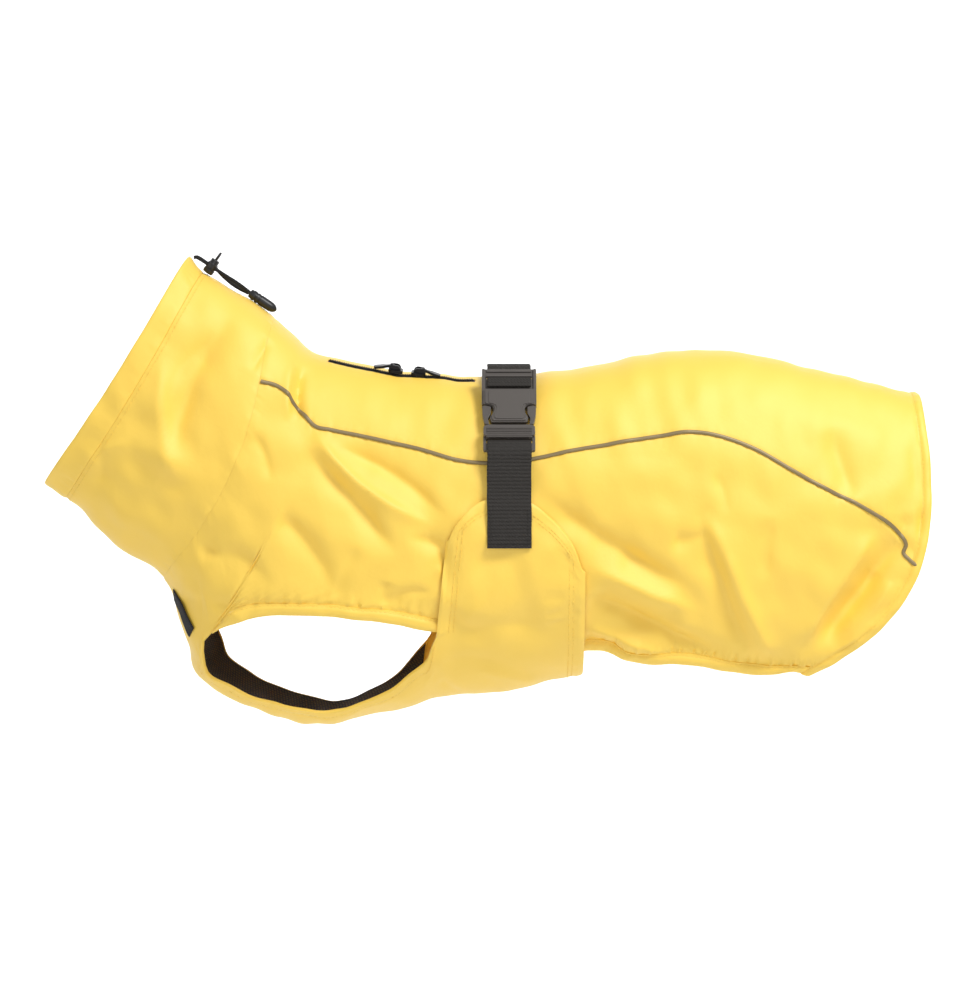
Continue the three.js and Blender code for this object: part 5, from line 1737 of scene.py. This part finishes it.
wear(shell, casing, collar, back, *sides, *hems, rear_hem, under)
wear(mesh_lining, lining)
wear(thread, stitches)
wear(piping_tape, *pipings)
wear(webbing, strap_upper, strap_layer, strap_lower, strap_sewing)
wear(buckle_plastic, socket, plug)
wear(cord_braid, strand_left, strand_right)
wear(cord_plastic, toggle, toggle_ring, stopper)
wear(zip_black, zip_tape, zip_teeth)
wear(label_tape, label)
metal_nodes = [f"zip_{part}_{end}" for part in ("slider", "pull") for end in ("front", "rear")]
wear(zip_metal, *(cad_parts[name] for name in metal_nodes))

# %% [markdown]
# ## The cut of the cloth
# The area of each piece is measured and printed where it is built; no flat cut size is stated.

# %% [markdown]
# ## Stage and light
# A pale floor that lies far below and sweeps up behind, so that the coat hangs free on
# white. The key light stands above and to the right, with two weak ones in front and on
# the left. A broad one lights only the backdrop, and the surround is an even white.

# %% Stage
FLOOR_Z = -0.62
AIM_LOW = (0, 0, -0.08)


def make_stage():
    """Sweep: flat floor, a quarter circle of 1.2 m far behind, then straight up."""
    turn = np.linspace(0, np.pi / 2, 25)
    y = np.concatenate([[-4.0, 2.8], 2.8 + 1.2 * np.sin(turn[1:]), [4.0]])
    z = np.concatenate([[0, 0], 1.2 - 1.2 * np.cos(turn[1:]), [4.0]]) + FLOOR_Z
    x = np.array([-5.0, 5.0])
    grid = np.stack(np.broadcast_arrays(x[None, :], y[:, None], z[:, None]), -1)
    n = len(y)
    index = np.arange(2 * n).reshape(n, 2)
    faces = np.stack([index[:-1, 0], index[:-1, 1], index[1:, 1], index[1:, 0]], -1)
    mesh = bpy.data.meshes.new("floor")
    mesh.from_pydata(grid.reshape(-1, 3).tolist(), [], faces.tolist())
    mesh.shade_smooth()
    floor = place_object("floor", mesh)
    material, _, _ = new_material("floor_white", (0.92, 0.92, 0.92, 1), 0.9, Specular_IOR_Level=0.1)
    floor.data.materials.append(material)
    return floor


def add_light(name, place, aim, size, power, colour=(1, 1, 1)):
    data = bpy.data.lights.new(name, "AREA")
    data.shape = "RECTANGLE"
    data.size, data.size_y = size
    data.energy = power
    data.color = colour
    light = place_object(name, data)
    light.location = place
    light.rotation_euler = (Vector(aim) - Vector(place)).to_track_quat("-Z", "Y").to_euler()
    return light


def set_world(strength):
    world = bpy.data.worlds.new("surround")
    world.use_nodes = True
    world.node_tree.nodes["Background"].inputs["Color"].default_value = (1, 1, 1, 1)
    world.node_tree.nodes["Background"].inputs["Strength"].default_value = strength
    bpy.context.scene.world = world


make_stage()
set_world(0.43)
add_light("key", (0.9, -1.0, 1.45), AIM_LOW, (0.6, 0.6), 30)
add_light("front", (-0.5, -2.3, 0.8), AIM_LOW, (1.6, 1.0), 7)
add_light("left", (-1.6, -0.5, 0.9), (-0.1, 0, -0.08), (0.8, 0.8), 3)
add_light("behind", (0, 2.0, 2.2), (0, 3.8, 0.6), (4.0, 1.2), 130)
bpy.context.scene.view_settings.view_transform = "Standard"
